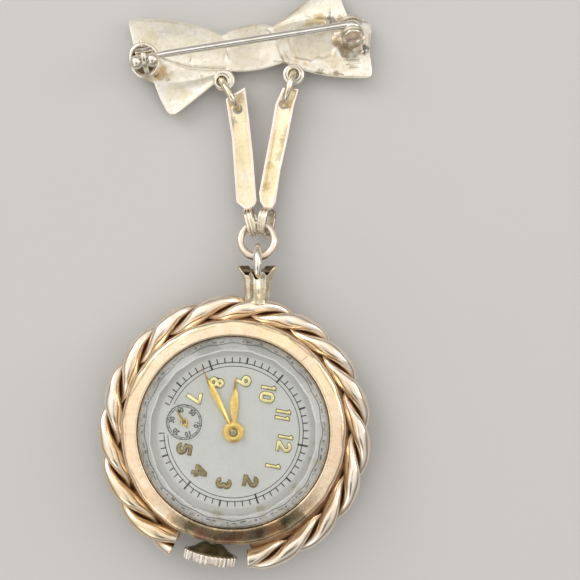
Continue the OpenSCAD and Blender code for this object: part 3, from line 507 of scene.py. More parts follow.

# Marks on some of them, both worn marks and painted light and shade: spots as (place, radius, strength,
# colour) at one height unless they name their own, lines as (start, end, width, strength, colour), and the
# strength of the speckle
marks = {
    "bow": {
        "speckle": 0.32, "spotHeight": 1.5,
        "spots": [
            ((-6.55, 31.75), 0.85, 0.75, (0.66, 0.45, 0.2)), ((-7.05, 31.55), 0.35, 0.8, (0.34, 0.22, 0.1)),
            ((-7.6, 34.6), 1.1, 0.45, (0.72, 0.6, 0.36)), ((-5.2, 29.9), 1.2, 0.35, (0.74, 0.64, 0.42)),
            ((-2.97, 31.44), 0.22, 0.5, (0.5, 0.52, 0.36)), ((-5.83, 29.33), 0.2, 0.5, (0.48, 0.5, 0.34)),
            ((5.6, 33.9), 1.0, 0.35, (0.7, 0.6, 0.4)), ((7.58, 36.5), 0.75, 0.75, (0.62, 0.45, 0.2)),
            ((6.6, 36.2), 0.5, 0.6, (0.68, 0.52, 0.28)), ((8.57, 36.45), 0.45, 0.85, (0.26, 0.25, 0.24)),
            ((9.36, 36.7), 0.3, 0.7, (0.6, 0.44, 0.22)), ((8.9, 35.6), 0.7, 0.6, (0.34, 0.27, 0.2)),
            ((5.48, 33.0), 0.35, 0.7, (0.78, 0.56, 0.26)), ((6.24, 32.6), 0.3, 0.7, (0.76, 0.54, 0.26)),
            ((4.68, 32.4), 0.5, 0.65, (0.46, 0.44, 0.38)), ((10.6, 34.2), 0.9, 0.6, (0.62, 0.48, 0.27)),
            ((11.5, 33.8), 0.62, 0.95, (0.12, 0.12, 0.12)), ((8.6, 32.9), 0.9, 0.45, (0.66, 0.52, 0.32)),
            ((10.2, 32.3), 0.6, 0.35, (0.74, 0.6, 0.36)), ((7.6, 31.9), 0.35, 0.7, (0.3, 0.26, 0.2)),
            ((9.0, 31.75), 0.3, 0.7, (0.3, 0.26, 0.2)), ((4.4, 33.2), 0.5, 0.6, (0.52, 0.46, 0.36)),
            ((9.2, 32.0), 0.8, 0.4, (0.72, 0.6, 0.38)), ((0.8, 33.0), 1.3, 0.3, (0.76, 0.68, 0.5)),
            ((6.9, 34.2), 2.1, 0.5, (0.66, 0.6, 0.44)), ((-5.0, 34.6), 1.8, 0.3, (0.84, 0.78, 0.58)),
            ((9.3, 34.6), 0.8, 0.6, (0.56, 0.44, 0.26)), ((11.5, 33.75), 0.4, 0.9, (0.12, 0.12, 0.12)),
        ],
        "lines": [
            # Painted shade along the channel under the pin
            ((-6.54, 33.03), (-4.0, 32.35), 0.16, 0.6, (0.55, 0.47, 0.28)),
            ((-4.0, 32.35), (-0.9, 32.15), 0.14, 0.5, (0.6, 0.53, 0.36)),
            ((3.5, 32.8), (4.5, 32.7), 0.16, 0.75, (0.34, 0.3, 0.24)),
            ((4.5, 32.7), (5.05, 31.9), 0.16, 0.7, (0.36, 0.32, 0.25)),
            ((5.1, 35.8), (4.75, 34.7), 0.1, 0.5, (0.56, 0.46, 0.28)),
            ((4.75, 34.7), (5.1, 33.05), 0.1, 0.5, (0.56, 0.46, 0.28)),
            # Painted highlights along the lower rim of the pressed mark
            ((5.1, 33.0), (6.9, 32.73), 0.12, 0.6, (0.99, 0.97, 0.93)),
            ((6.9, 32.73), (8.6, 33.07), 0.12, 0.6, (0.99, 0.97, 0.93)),
            ((8.6, 33.07), (9.26, 34.3), 0.12, 0.55, (0.95, 0.9, 0.78)),
            ((7.1, 31.83), (8.0, 31.72), 0.12, 0.85, (0.22, 0.19, 0.15)),
            ((8.8, 31.68), (9.7, 31.6), 0.11, 0.85, (0.24, 0.2, 0.16)),
            ((7.2, 36.9), (8.3, 36.4), 0.14, 0.6, (0.5, 0.36, 0.16)),
            ((8.5, 37.2), (8.65, 35.9), 0.16, 0.75, (0.3, 0.27, 0.24)),
            ((6.3, 36.1), (7.2, 36.3), 0.14, 0.5, (0.58, 0.46, 0.24)),
            ((3.2, 35.8), (3.7, 34.6), 0.1, 0.45, (0.6, 0.54, 0.42)),
            ((-3.98, 33.3), (-4.0, 32.7), 0.06, 0.6, (0.48, 0.36, 0.24)),
        ],
    },
    "solder": {
        "spots": [
            ((9.7, 33.9, 1.8), 1.2, 0.85, (0.33, 0.25, 0.16)),
            ((9.2, 34.7, 1.6), 0.6, 0.6, (0.44, 0.34, 0.2)),
            ((10.9, 34.2, 2.0), 0.5, 0.6, (0.36, 0.27, 0.16)),
        ],
    },
    "bars": {
        "speckle": 0.22, "spotHeight": 1.8,
        "spots": [
            ((-0.3, 27.4), 0.45, 0.75, (0.36, 0.34, 0.26)), ((0.4, 29.6), 0.7, 0.55, (0.5, 0.4, 0.22)),
            ((0.9, 22.5), 0.8, 0.3, (0.8, 0.76, 0.66)), ((4.7, 26.4), 0.55, 0.7, (0.42, 0.36, 0.22)),
            ((4.5, 25.5), 0.6, 0.75, (0.38, 0.33, 0.2)), ((4.1, 24.2), 0.6, 0.55, (0.48, 0.38, 0.2)),
            ((5.0, 28.9), 0.7, 0.6, (0.44, 0.36, 0.2)), ((2.75, 21.6), 0.5, 0.6, (0.52, 0.36, 0.16)),
            ((3.1, 23.4), 0.45, 0.55, (0.56, 0.4, 0.18)),
        ],
        "lines": [
            ((4.75, 27.0), (4.05, 24.0), 0.34, 0.55, (0.5, 0.42, 0.24)),
            ((2.6, 21.0), (3.6, 26.6), 0.14, 0.65, (0.5, 0.34, 0.14)),
            ((-0.35, 28.3), (-0.2, 26.6), 0.2, 0.6, (0.36, 0.33, 0.25)),
        ],
    },
    "bezel": {
        "speckle": 0.22, "spotHeight": 6.4,
        # Painted reflection: paler, yellower and peach patches round the top and sides, and dark brown,
        # maroon and copper ones along the bottom, where the bezel reflects dark surroundings
        "spots": [
            ((3.5, 8.3), 2.4, 0.35, (0.9, 0.76, 0.42)), ((7.8, 4.2), 2.2, 0.35, (0.92, 0.78, 0.44)),
            ((-6.5, 6.4), 1.6, 0.35, (0.84, 0.76, 0.6)), ((9.0, -1.5), 1.6, 0.4, (0.93, 0.7, 0.55)),
            ((-8.9, -2.0), 1.6, 0.35, (0.94, 0.74, 0.56)), ((-7.4, -5.4), 1.0, 0.3, (0.88, 0.6, 0.36)),
            ((6.6, -6.3), 1.0, 0.4, (0.8, 0.56, 0.34)), ((-2.6, 8.6), 2.6, 0.4, (0.74, 0.66, 0.5)),
            ((5.2, -7.5), 1.7, 0.85, (0.22, 0.19, 0.11)), ((3.4, -8.4), 1.7, 0.7, (0.34, 0.24, 0.13)),
            ((1.4, -9.0), 1.7, 0.8, (0.28, 0.21, 0.12)), ((-0.7, -9.0), 1.7, 0.8, (0.3, 0.2, 0.12)),
            ((-2.7, -8.6), 1.6, 0.8, (0.26, 0.2, 0.11)), ((-4.3, -8.0), 1.3, 0.7, (0.3, 0.25, 0.13)),
            ((4.4, -7.6), 0.6, 0.8, (0.13, 0.11, 0.06)), ((5.6, -7.0), 0.5, 0.7, (0.5, 0.36, 0.2)),
            ((2.4, -8.3), 0.7, 0.7, (0.15, 0.12, 0.07)), ((0.4, -8.8), 0.6, 0.7, (0.16, 0.12, 0.07)),
            ((-3.8, -8.0), 0.6, 0.7, (0.14, 0.13, 0.06)), ((-1.9, -9.2), 0.6, 0.6, (0.17, 0.1, 0.06)),
            ((3.5, -8.3), 0.9, 0.8, (0.76, 0.42, 0.2)), ((0.6, -9.1), 0.9, 0.5, (0.62, 0.36, 0.19)),
            ((-0.4, -9.4), 0.7, 0.6, (0.36, 0.12, 0.09)), ((-2.9, -8.9), 0.8, 0.6, (0.38, 0.15, 0.11)),
            ((-1.6, -8.5), 0.7, 0.5, (0.56, 0.42, 0.2)), ((-5.3, -7.5), 0.8, 0.5, (0.66, 0.46, 0.26)),
        ],
        "lines": [
            # Painted shade along the edges of the bezel's outer facets, then a few fine dark lines and one
            # painted highlight
            ((-8.9, 3.2), (-6.9, 6.4), 0.16, 0.7, (0.4, 0.24, 0.11)),
            ((-6.6, 6.7), (-4.7, 8.2), 0.16, 0.6, (0.44, 0.28, 0.13)),
            ((-3.9, 8.5), (-1.6, 9.2), 0.13, 0.5, (0.5, 0.34, 0.17)),
            ((1.9, 9.3), (4.5, 8.4), 0.14, 0.6, (0.46, 0.3, 0.14)),
            ((4.9, 8.1), (6.9, 6.5), 0.16, 0.7, (0.4, 0.25, 0.12)),
            ((7.3, 6.0), (8.9, 3.2), 0.14, 0.6, (0.44, 0.28, 0.13)),
            ((9.3, 1.9), (9.4, -1.2), 0.12, 0.5, (0.5, 0.32, 0.17)),
            ((-9.3, 1.6), (-9.3, -1.9), 0.12, 0.5, (0.52, 0.34, 0.18)),
            ((-9.0, -2.9), (-7.5, -5.7), 0.14, 0.55, (0.46, 0.28, 0.14)),
            ((5.9, 6.2), (6.4, 6.6), 0.05, 0.8, (0.3, 0.18, 0.1)),
            ((-4.0, 7.7), (-4.6, 7.6), 0.05, 0.6, (0.36, 0.24, 0.14)),
            # Painted highlight
            ((-7.9, 4.0), (-7.0, 5.4), 0.06, 0.4, (0.98, 0.9, 0.8)),
        ],
    },
    "cap": {
        "spots": [
            ((1.3, 12.4, 3.9), 0.5, 0.5, (0.5, 0.32, 0.16)),
            ((2.9, 12.6, 3.6), 0.6, 0.5, (0.46, 0.36, 0.22)),
            ((2.5, 11.6, 4.0), 0.6, 0.5, (0.4, 0.3, 0.18)),
        ],
    },
}

looks = {key: metalMaterial(*row, **marks.get(key, {})) for key, row in metals.items()}


def dialMaterial():
    # Silvered dial: fine brushing and grain, faint clouds, and painted shade darkening it towards the rim,
    # where the bezel shades it
    material, tree = newTree("dialSilvered")
    coords = objectCoords(tree)
    clouds = noiseNode(tree, coords, 380.0, 5.0)
    grain = noiseNode(tree, coords, 9000.0, 3.0)
    radius = vectorNode(tree, "LENGTH", flatten(tree, coords))
    color = mixColor(tree, clouds, (0.64, 0.65, 0.65), (0.73, 0.73, 0.71))
    # Painted shade: the dial turns darker grey towards the rim, under the bezel
    edge = rangeNode(tree, radius, 6.2 * mm, 8.2 * mm, kind="LINEAR")
    color = patch(tree, color, edge, 0.45, (0.46, 0.44, 0.40))
    # Painted shade: a darker ring between the minute track and the crystal's flat, where the bezel's shadow
    # falls, then mottled towards the rim
    color = patch(tree, color, rangeNode(tree, radius, 6.5 * mm, 6.8 * mm), 0.35, (0.34, 0.34, 0.33))
    mottle = rampNode(tree, noiseNode(tree, coords, 2600.0, 4.0),
                      [(0.36, (0.45, 0.42, 0.38)), (0.5, (1, 1, 1))])
    outside = rangeNode(tree, radius, 7.1 * mm, 7.4 * mm, kind="LINEAR")
    color = patch(tree, color, outside, 0.7, mixColor(tree, 1.0, color, mottle, "MULTIPLY"))
    for place, size in (((7.15, -0.85, 5.3), 0.42), ((6.8, -2.5, 5.3), 0.42), ((2.35, -6.7, 5.3), 0.5),
                        ((-1.4, -7.0, 5.3), 0.45), ((5.3, -4.8, 5.3), 0.35)):
        color = patch(tree, color, spotMask(tree, place, size), 0.7, (0.36, 0.34, 0.22))
    speck = rampNode(tree, grain, [(0.30, (0.82, 0.82, 0.82)), (0.42, (1, 1, 1))])
    color = mixColor(tree, 1.0, color, speck, "MULTIPLY")
    ripples = mathNode(tree, "SINE", times(tree, radius, 90000.0))
    return metalShader(material, tree, color, 0.42, plus(tree, grain, ripples), 0.08, 0.00002, 0.5)


def crystalMaterial(name, wearSize, roughest, veilShare=0.0, veilDark=None, veilPale=None):
    # Clear crystal that lets light through to the dial; ground facets have a faint milky veil, set lighter
    # or darker facet by facet as painted light and shade
    material, tree = newTree(name)
    wear = noiseNode(tree, objectCoords(tree), wearSize, 4.0)
    rough = rangeNode(tree, wear, 0.0, 1.0, 0.0, roughest, "LINEAR")
    glass = addNode(tree, "ShaderNodeBsdfPrincipled",
                    {"Base Color": (0.98, 0.99, 0.98, 1), "Roughness": rough, "Transmission Weight": 1.0,
                     "IOR": 1.49}).outputs[0]
    if veilShare:
        veil = addNode(tree, "ShaderNodeBsdfPrincipled",
                       {"Base Color": mixColor(tree, wear, veilDark, veilPale), "Roughness": 0.3})
        glass = addNode(tree, "ShaderNodeMixShader", {0: veilShare, 1: glass, 2: veil.outputs[0]}).outputs[0]
    clear = addNode(tree, "ShaderNodeBsdfTransparent", {"Color": (0.9, 0.92, 0.91, 1)})
    shadow = addNode(tree, "ShaderNodeLightPath").outputs["Is Shadow Ray"]
    blend = addNode(tree, "ShaderNodeMixShader", {0: shadow, 1: glass, 2: clear.outputs[0]})
    return surface(material, tree, blend)


# The ring that the rope follows: its mean radius and how it leans and is squashed, in mm
ropePath = {"mean": 11.04, "lean": -0.4, "squash": -0.1, "height": 2.9}


def ropeMaterial():
    # Rose gold, with painted shade darkening it where the two strands meet
    material, tree = newTree("ropeRoseGold")
    worn = wornNode(tree, (0.92, 0.81, 0.67), (0.72, 0.55, 0.38), (0.98, 0.94, 0.87), 520.0, 0.42, 0.12,
                    0.12)
    coords = objectCoords(tree)
    split = addNode(tree, "ShaderNodeSeparateXYZ", {0: coords}).outputs
    turn = mathNode(tree, "ARCTAN2", split["Y"], split["X"])
    lean = times(tree, mathNode(tree, "SINE", turn), ropePath["lean"] * mm)
    squash = times(tree, mathNode(tree, "COSINE", times(tree, turn, 2.0)), ropePath["squash"] * mm)
    path = plus(tree, plus(tree, lean, squash), ropePath["mean"] * mm)
    aside = mathNode(tree, "SUBTRACT", vectorNode(tree, "LENGTH", flatten(tree, coords)), path)
    above = mathNode(tree, "SUBTRACT", split["Z"], ropePath["height"] * mm)
    reach = mathNode(tree, "SQRT", plus(tree, times(tree, aside, aside), times(tree, above, above)))
    reach = plus(tree, reach, times(tree, noiseNode(tree, coords, 900.0, 4.0), 0.0003))
    # Painted shade: dark brown in the crevices where the strands meet, fading away from the rope's middle
    creviceShade = rangeNode(tree, reach, 0.58 * mm, 0.98 * mm, 1.0, 0.0)
    color = mixColor(tree, creviceShade, worn["Color"], (0.27, 0.145, 0.065))
    # The strands are yellower low on the left
    lowLeft = spotMask(tree, (-8.5, -6.5, 3.5), 5.5)
    color = patch(tree, color, lowLeft, 0.5, (0.90, 0.80, 0.58), "MULTIPLY")
    rough = plus(tree, worn["Roughness"], times(tree, creviceShade, 0.25))
    return metalShader(material, tree, color, rough, worn["Height"], 0.15)


looks["dial"] = dialMaterial()
looks["print"] = plainMaterial("dialPrintBlack", (0.015, 0.015, 0.015), (0.07, 0.065, 0.06), 5000.0, 0.5)
looks["crystal"] = crystalMaterial("crystalClear", 500.0, 0.03)
# Veils for the facets: the bright, middle and dark ones are painted light and shade, the pale edge one a
# painted highlight
for grade, veilShare, veilDark, veilPale in (("Bright", 0.22, (0.84, 0.85, 0.86), (0.97, 0.97, 0.97)),
                                             ("Middle", 0.2, (0.64, 0.64, 0.62), (0.84, 0.83, 0.80)),
                                             ("Dark", 0.2, (0.44, 0.44, 0.42), (0.62, 0.61, 0.58)),
                                             ("Edge", 0.34, (0.86, 0.87, 0.87), (0.98, 0.98, 0.98))):
    looks["facet" + grade] = crystalMaterial("crystalFacet" + grade, 1500.0, 0.06, veilShare, veilDark,
                                             veilPale)
looks["rope"] = ropeMaterial()
print("materials made")


# Rope rim: two strands wound round one ring that follows the case

ropeSettings = {
    "start": -84.5,
    "end": 242.5,
    "turnRate": 8.54,
    "offset": 0.56,
    "halfDeep": 0.62,
    "halfWide": 0.8,
    "columns": 620,
    "rows": 26,
    "dent": 0.012,
    # Where the dark band of painted shade under the rope lies
    "gapShadeInner": 9.35,
    "gapShadeClearance": 0.62,
    "gapShadeHeight": 2.75,
    "gapShadeThick": 0.42,
}


def ropeRadius(turn):
    return ropePath["mean"] + ropePath["lean"] * sin(turn) + ropePath["squash"] * cos(2 * turn)


def ropeStrand(index):
    cfg = ropeSettings
    phase = 90 if index == 1 else -90
    # The strand closes to a rounded end: share of its section and step back in degrees
    ends = [(0.0, 0.0), (0.5, 0.0), (0.8, 0.06), (0.94, 0.2), (1.0, 0.45)]
    columns = cfg["columns"]

    def place(along, across):
        i = round(along * columns)
        last = len(ends) - 1
        if i <= last:
            share, back = ends[i]
            angle = cfg["start"] + back
        elif i >= columns - last:
            share, back = ends[columns - i]
            angle = cfg["end"] - back
        else:
            share = 1.0
            low, high = cfg["start"] + ends[-1][1], cfg["end"] - ends[-1][1]
            angle = mix(low, high, (i - last) / (columns - 2 * last))
        turn = radians(angle)
        twist = radians(cfg["turnRate"] * angle + phase)
        q = tau * across
        dent = 1 + cfg["dent"] * sin(5.3 * twist + 2 * q + index)
        away = cfg["offset"] + cfg["halfDeep"] * cos(q) * share * dent
        side = cfg["halfWide"] * sin(q) * share * dent
        radius = ropeRadius(turn) + away * cos(twist) - side * sin(twist)
        height = ropePath["height"] + away * sin(twist) + side * cos(twist)
        return *onCircle(radius, turn), height

    return closedSweep(f"ropeStrand{index}", columns, cfg["rows"], place, 60)


def makeRope():
    for index in (1, 2):
        finishPiece(ropeStrand(index), "main", looks["rope"], [f"rope_strand_{index}"])


def makeRopeSeat():
    # Painted shade: a dark band fills the gap between the rope and the case all the way round
    cfg = ropeSettings

    def place(along, across):
        share = endShare(along, 320)
        turn = radians(mix(cfg["start"] + 1.5, cfg["end"] - 1.5, along))
        q = tau * across
        wave = 0.05 * sin(23 * turn) + 0.04 * sin(37 * turn + 1)
        inner, outer = cfg["gapShadeInner"], ropeRadius(turn) - cfg["gapShadeClearance"] + wave
        radius = (inner + outer) / 2 + (outer - inner) / 2 * cos(q) * share
        return *onCircle(radius, turn), cfg["gapShadeHeight"] + cfg["gapShadeThick"] * sin(q) * share

    seat = closedSweep("ropeGapShadeBand", 320, 20, place, 60)
    finishPiece(seat, "main", looks["seat"], ["case_middle"])


makeRope()
makeRopeSeat()
print("rope made")


# Lathe-turned pieces, from a closed profile of radius and height in mm

def latheProfile(name, profile, steps):
    deselectAll()
    bpy.ops.mesh.primitive_circle_add(vertices=len(profile), radius=1)
    piece = newPiece(name)
    for vertex, (radius, height) in zip(piece.data.vertices, profile):
        vertex.co = (radius * mm, 0, height * mm)
    addModifier(piece, "SCREW", angle=tau, axis="Z", steps=steps, render_steps=steps,
                use_merge_vertices=True, merge_threshold=1e-7)
    applyModifiers(piece)
    fixNormals(piece)
    return piece


caseProfiles = {
    "bezel": [(8.3, 4.62), (9.45, 4.62), (9.66, 4.7), (9.75, 4.9), (9.76, 5.4), (9.76, 5.8), (9.73, 6.05),
              (9.66, 6.22), (9.55, 6.32), (9.4, 6.38), (9.1, 6.43), (8.8, 6.48), (8.55, 6.52), (8.45, 6.52),
              (8.37, 6.48), (8.31, 6.38), (8.31, 6.15), (8.0, 6.15), (8.0, 5.33), (8.3, 5.33)],
    "back": [(0, 0), (7.8, 0), (8.3, 0.05), (8.75, 0.2), (9.05, 0.45), (9.2, 0.8), (9.25, 1.18), (8.5, 1.18),
             (8.5, 0.5), (0, 0.5)],
    "wobble": 0.003,
    "wobbleInner": 9.1,
    "wobbleLow": 6.0,
}


def makeCase():
    bezel = latheProfile("bezelRing", caseProfiles["bezel"], 240)
    # Years of wear leave the upper outer edge slightly uneven
    for vertex in bezel.data.vertices:
        radius = hypot(vertex.co.x, vertex.co.y) / mm
        if radius > caseProfiles["wobbleInner"] and vertex.co.z > caseProfiles["wobbleLow"] * mm:
            turn = atan2(vertex.co.y, vertex.co.x)
            push = sin(17 * turn) + 0.7 * sin(29 * turn + 1) + 0.5 * sin(43 * turn + 2)
            vertex.co.x *= 1 + caseProfiles["wobble"] * push
            vertex.co.y *= 1 + caseProfiles["wobble"] * push
    bevelEdges(bezel, 0.04, 3, 22, 40)
    finishPiece(bezel, "main", looks["bezel"], ["bezel"])
    middle = bevelNode("case_middle", "caseMiddle", 0.06, 2)
    finishPiece(middle, "main", looks["case"], ["case_middle"])
    back = latheProfile("caseBack", caseProfiles["back"], 160)
    bevelEdges(back, 0.06, 2, 30, 40)
    finishPiece(back, "main", looks["case"], ["case_back"])


makeCase()
print("case made")


# How far the normals of the narrow bevels and of the ground facets point upwards
crystalSettings = {
    "facets": 20,
    "facetTurn": 18,
    "bevelUp": (0.86, 0.99),
    "facetUp": (0.3, 0.86),
}


def makeCrystal():
    # Ground facets round a flat top; the narrow bevels between them get the pale edge veil, a painted
    # highlight
    cfg = crystalSettings
    crystal = bevelNode("crystal", "facetedCrystal", 0.08, 2, flat=1, sharp=12)
    smoothByAngle(crystal, 11)
    finishPiece(crystal, "main", looks["crystal"], ["crystal"])
    for look in ("facetBright", "facetMiddle", "facetDark", "facetEdge"):
        crystal.data.materials.append(looks[look])
    for face in crystal.data.polygons:
        if cfg["bevelUp"][0] < face.normal.z < cfg["bevelUp"][1]:
            face.material_index = 4
        elif cfg["facetUp"][0] < face.normal.z <= cfg["facetUp"][1]:
            turn = degrees(atan2(face.center.y, face.center.x))
            sector = round(turn / cfg["facetTurn"]) % cfg["facets"]
            # Painted light and shade: bright, middle and dark facets follow each other without a plain
            # pattern
            face.material_index = 1 + (sector * 7 + sector // 3) % 3


makeCrystal()
print("crystal made")


# Dial print: minute track, small seconds track and its figures

dialSettings = {
    "top": 5.30,
    "printHeight": 0.012,
    "twelve": -11.0,
    "rings": [(5.72, 0.06), (6.05, 0.075)],
    "ringGap": 13.5,
    "tickGap": 11,
    "tickInner": 6.0,
    "tickCrossing": 5.66,
    "tickOuter": 6.5,
    "hourLonger": 0.08,
    "tickWidths": (0.1, 0.16),
    "secondsPlace": (-4.3, 0.85),
    "secondsFloor": 5.22,
    "secondsRing": 1.52,
    "secondsDeep": 0.2,
    "figuresIn": 0.48,
    "figuresTall": 0.56,
    "inkLift": 0.008,
    "secondsLines": (0.05, 0.03),
    "secondsTicks": (0.035, 0.09),
    "figuresThick": 0.006,
    "figuresBolder": 0.018,
    "echoRadius": 7.47,
    "echoRise": 0.12,
    "echoWave": 0.07,
    "echoRipple": 0.03,
    "echoWide": 0.1,
    "echoHeight": 6.13,
    "dashStray": 1.5,
    # A middle value, and how far single dashes stray from it
    "dashHalf": (1.0, 0.7),
    "dashOut": (0.24, 0.04),
    "dashWide": (0.15, 0.05),
}


def printBand(name, radiusAt, width, floor, start=0.0, end=360.0, steps=180, centre=(0, 0)):
    # A thin flat band of ink whose radius may change with the angle
    def place(along, across):
        turn = radians(mix(start, end, along))
        x, y = onCircle(radiusAt(degrees(turn)) + (across - 0.5) * width, turn)
        return centre[0] + x, centre[1] + y, floor

    band = gridPiece(name, steps, 1, place)
    fixNormals(band)
    addModifier(band, "SOLIDIFY", thickness=dialSettings["printHeight"] * mm, offset=0)
    applyModifiers(band)
    return band


def tick(centre, angle, inner, outer, width, floor):
    turn = radians(angle)
    x, y = onCircle((inner + outer) / 2, turn)
    bpy.ops.mesh.primitive_cube_add(
        size=1, location=((centre[0] + x) * mm, (centre[1] + y) * mm, floor * mm), rotation=(0, 0, turn))
    bar = bpy.context.active_object
    bar.scale = ((outer - inner) * mm, width * mm, dialSettings["printHeight"] * mm)
    bakeTransform(bar)
    return bar


def finishPrint(pieces, name):
    finishPiece(joinPieces(pieces, name), "main", looks["print"])


def makeDialPrint():
    cfg = dialSettings
    top = cfg["top"] + cfg["inkLift"]
    centre = cfg["secondsPlace"]
    # The track stops short on both sides of the small seconds dial
    south = degrees(atan2(centre[1], centre[0]))
    start, end = south + cfg["ringGap"], south + 360 - cfg["ringGap"]
    pieces = [printBand("trackRing", lambda turn, r=radius: r, width, top, start, end)
              for radius, width in cfg["rings"]]
    for minute in range(60):
        angle = cfg["twelve"] - 6 * minute
        if abs((angle - south + 180) % 360 - 180) < cfg["tickGap"]:
            continue
        hour = minute % 5 == 0
        inner = cfg["tickCrossing"] if minute % 10 == 0 else cfg["tickInner"]
        outer = cfg["tickOuter"] + (cfg["hourLonger"] if hour else 0)
        pieces.append(tick((0, 0), angle, inner, outer, cfg["tickWidths"][hour], top))
    finishPrint(pieces, "minuteTrackPrint")

    # Painted refraction: the crystal's facets show the track a second time, so it is drawn again under the
    # crystal as a wavy line with dashes
    def echoPath(turn):
        wave = cfg["echoWave"] * cos(radians(20 * turn)) + cfg["echoRipple"] * sin(radians(7 * turn))
        return cfg["echoRadius"] + cfg["echoRise"] * sin(radians(turn)) + wave

    def stray(key, phase):
        return cfg[key][0] + cfg[key][1] * sin(phase)

    echo = [printBand("trackEcho", echoPath, cfg["echoWide"], cfg["echoHeight"], steps=480)]
    for minute in range(60):
        middle = cfg["twelve"] - 6 * minute + cfg["dashStray"] * sin(minute * 2.4)
        half, out = stray("dashHalf", minute * 1.7), stray("dashOut", minute * 3.1)
        echo.append(printBand("trackDash", lambda turn, out=out: echoPath(turn) + out,
                              stray("dashWide", minute * 1.3), cfg["echoHeight"],
                              start=middle - half, end=middle + half, steps=4))
    finishPrint(echo, "paintedTrackRefraction")

    floor = cfg["secondsFloor"] + cfg["inkLift"]
    outer, inner = cfg["secondsRing"], cfg["secondsRing"] - cfg["secondsDeep"]
    wide, thin = cfg["secondsLines"]
    pieces = [printBand("secondsRing", lambda turn: outer, wide, floor, steps=96, centre=centre),
              printBand("secondsInner", lambda turn: inner, thin, floor, steps=96, centre=centre)]
    for second in range(60):
        pieces.append(tick(centre, cfg["twelve"] - 6 * second, inner, outer,
                           cfg["secondsTicks"][second % 5 == 0], floor))
    finishPrint(pieces, "secondsTrackPrint")
    figures = []
    for second in range(10, 70, 10):
        turn = radians(cfg["twelve"] - 6 * second)
        x, y = onCircle(cfg["secondsRing"] - cfg["figuresIn"], turn)
        bpy.ops.object.text_add(location=((centre[0] + x) * mm, (centre[1] + y) * mm, floor * mm),
                                rotation=(0, 0, turn - pi / 2))
        words = bpy.context.active_object
        words.data.body = str(second)
        words.data.size = cfg["figuresTall"] * mm
        words.data.align_x = words.data.align_y = "CENTER"
        words.data.extrude = cfg["figuresThick"] * mm
        words.data.offset = cfg["figuresBolder"] * mm
        makeActive(words)
        bpy.ops.object.convert(target="MESH")
        bakeTransform(words)
        figures.append(words)
    finishPrint(figures, "secondsFiguresPrint")


makeDialPrint()
print("dial printed")


# Applied figures, and leaf hands with a ridge along the middle

figureSettings = {
    "wide": 1.22,
    "tall": 1.04,
    "edge": 0.075,
    "oneWide": 1.02,
    "oneBar": 0.21,
    # Length, width, place along and aside from the bar's middle, and turn of the flag
    "oneFlag": (0.2, 0.18, 0.44, 0.11),
    "flagTurn": 50,
    "fatter": 0.014,
    # The dark sheet under each figure is painted shade: how far it reaches past the figure, and its top and
    # bottom heights
    "footGrow": 0.095,
    "darkGrow": 1.2,
    "shadeRimTop": 0.035,
    "shadeRimSunk": 0.02,
    # Gilt figures painted dark, a painted reflection of dark surroundings
    "dark": ("numeral_2", "numeral_3", "numeral_4", "numeral_5"),
}


def plainOne(source, up, aside):
    # The figure one is a plain bar with a short slanted flag near its top
    corners = [vertex.co.copy() for vertex in source.data.vertices]
    top, foot = (f(c.dot(up) for c in corners) for f in (max, min))
    low, high = (f(c.z for c in corners) for f in (min, max))
    ends = [c.dot(aside) for c in corners if c.dot(up) < foot + 0.1 * mm]
    middle = (min(ends) + max(ends)) / 2
    bars = []
    flag = [v * mm for v in figureSettings["oneFlag"]]
    for length, wide, slide, shift, turn in ((top - foot, figureSettings["oneBar"] * mm, 0, 0, 0),
                                             (*flag, figureSettings["flagTurn"])):
        bpy.ops.mesh.primitive_cube_add(size=1)
        bar = bpy.context.active_object
        c, s = cos(radians(turn)), sin(radians(turn))
        for vertex in bar.data.vertices:
            a, b = vertex.co.x * length, vertex.co.y * wide
            point = up * ((top + foot) / 2 + slide + a * c - b * s)
            point += aside * (middle + shift - a * s - b * c)
            vertex.co = (point.x, point.y, mix(low, high, vertex.co.z + 0.5))
        editAll(bar)
        bpy.ops.mesh.normals_make_consistent(inside=False)
        leaveEdit()
        bars.append(bar)
    name = source.name
    bpy.data.objects.remove(source)
    return joinPieces(bars, name)


def makeFigures():
    cfg = figureSettings
    up = Vector((*onCircle(1, radians(dialSettings["twelve"])), 0))
    aside = Vector((-up.y, up.x, 0))
    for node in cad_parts:
        if not node.startswith("numeral_"):
            continue
        dark = node in cfg["dark"]
        slim = node == "numeral_1" or node.endswith(("one", "first", "second"))
        figure = copyNode(node, "figure" + node[len("numeral"):])
        dissolveFlat(figure, 0.4)
        if slim:
            figure = plainOne(figure, up, aside)
        # The real figures are broad: each is widened about its own middle
        corners = [vertex.co.copy() for vertex in figure.data.vertices]
        low, high = (Vector([f(c[k] for c in corners) for k in range(3)]) for f in (min, max))
        middle = (low + high) / 2
        wide = cfg["oneWide"] if slim else cfg["wide"]
        for vertex in figure.data.vertices:
            away = vertex.co - middle
            vertex.co = (middle + up * away.dot(up) * cfg["tall"] + aside * away.dot(aside) * wide
                         + Vector((0, 0, away.z)))
        foot = bpy.data.objects.new("foot" + node[len("numeral"):], figure.data.copy())
        bpy.context.scene.collection.objects.link(foot)
        for piece, grow in ((figure, cfg["fatter"]),
                            (foot, cfg["footGrow"] * (cfg["darkGrow"] if dark else 1))):
            editAll(piece)
            bpy.ops.transform.shrink_fatten(value=grow * mm)
            leaveEdit()
        # A dark foot, a little wider than the figure, is painted shade: it stands for the shaded line round
        # it
        for vertex in foot.data.vertices:
            lift = cfg["shadeRimTop"] if vertex.co.z > middle.z else -cfg["shadeRimSunk"]
            vertex.co.z = (dialSettings["top"] + lift) * mm
        finishPiece(foot, "main", looks["figureFeet"], [node])
        bevelEdges(figure, cfg["edge"], 3, 40, 50)
        finishPiece(figure, "main",
                    looks["bronze" if dark else "figures"], [node])


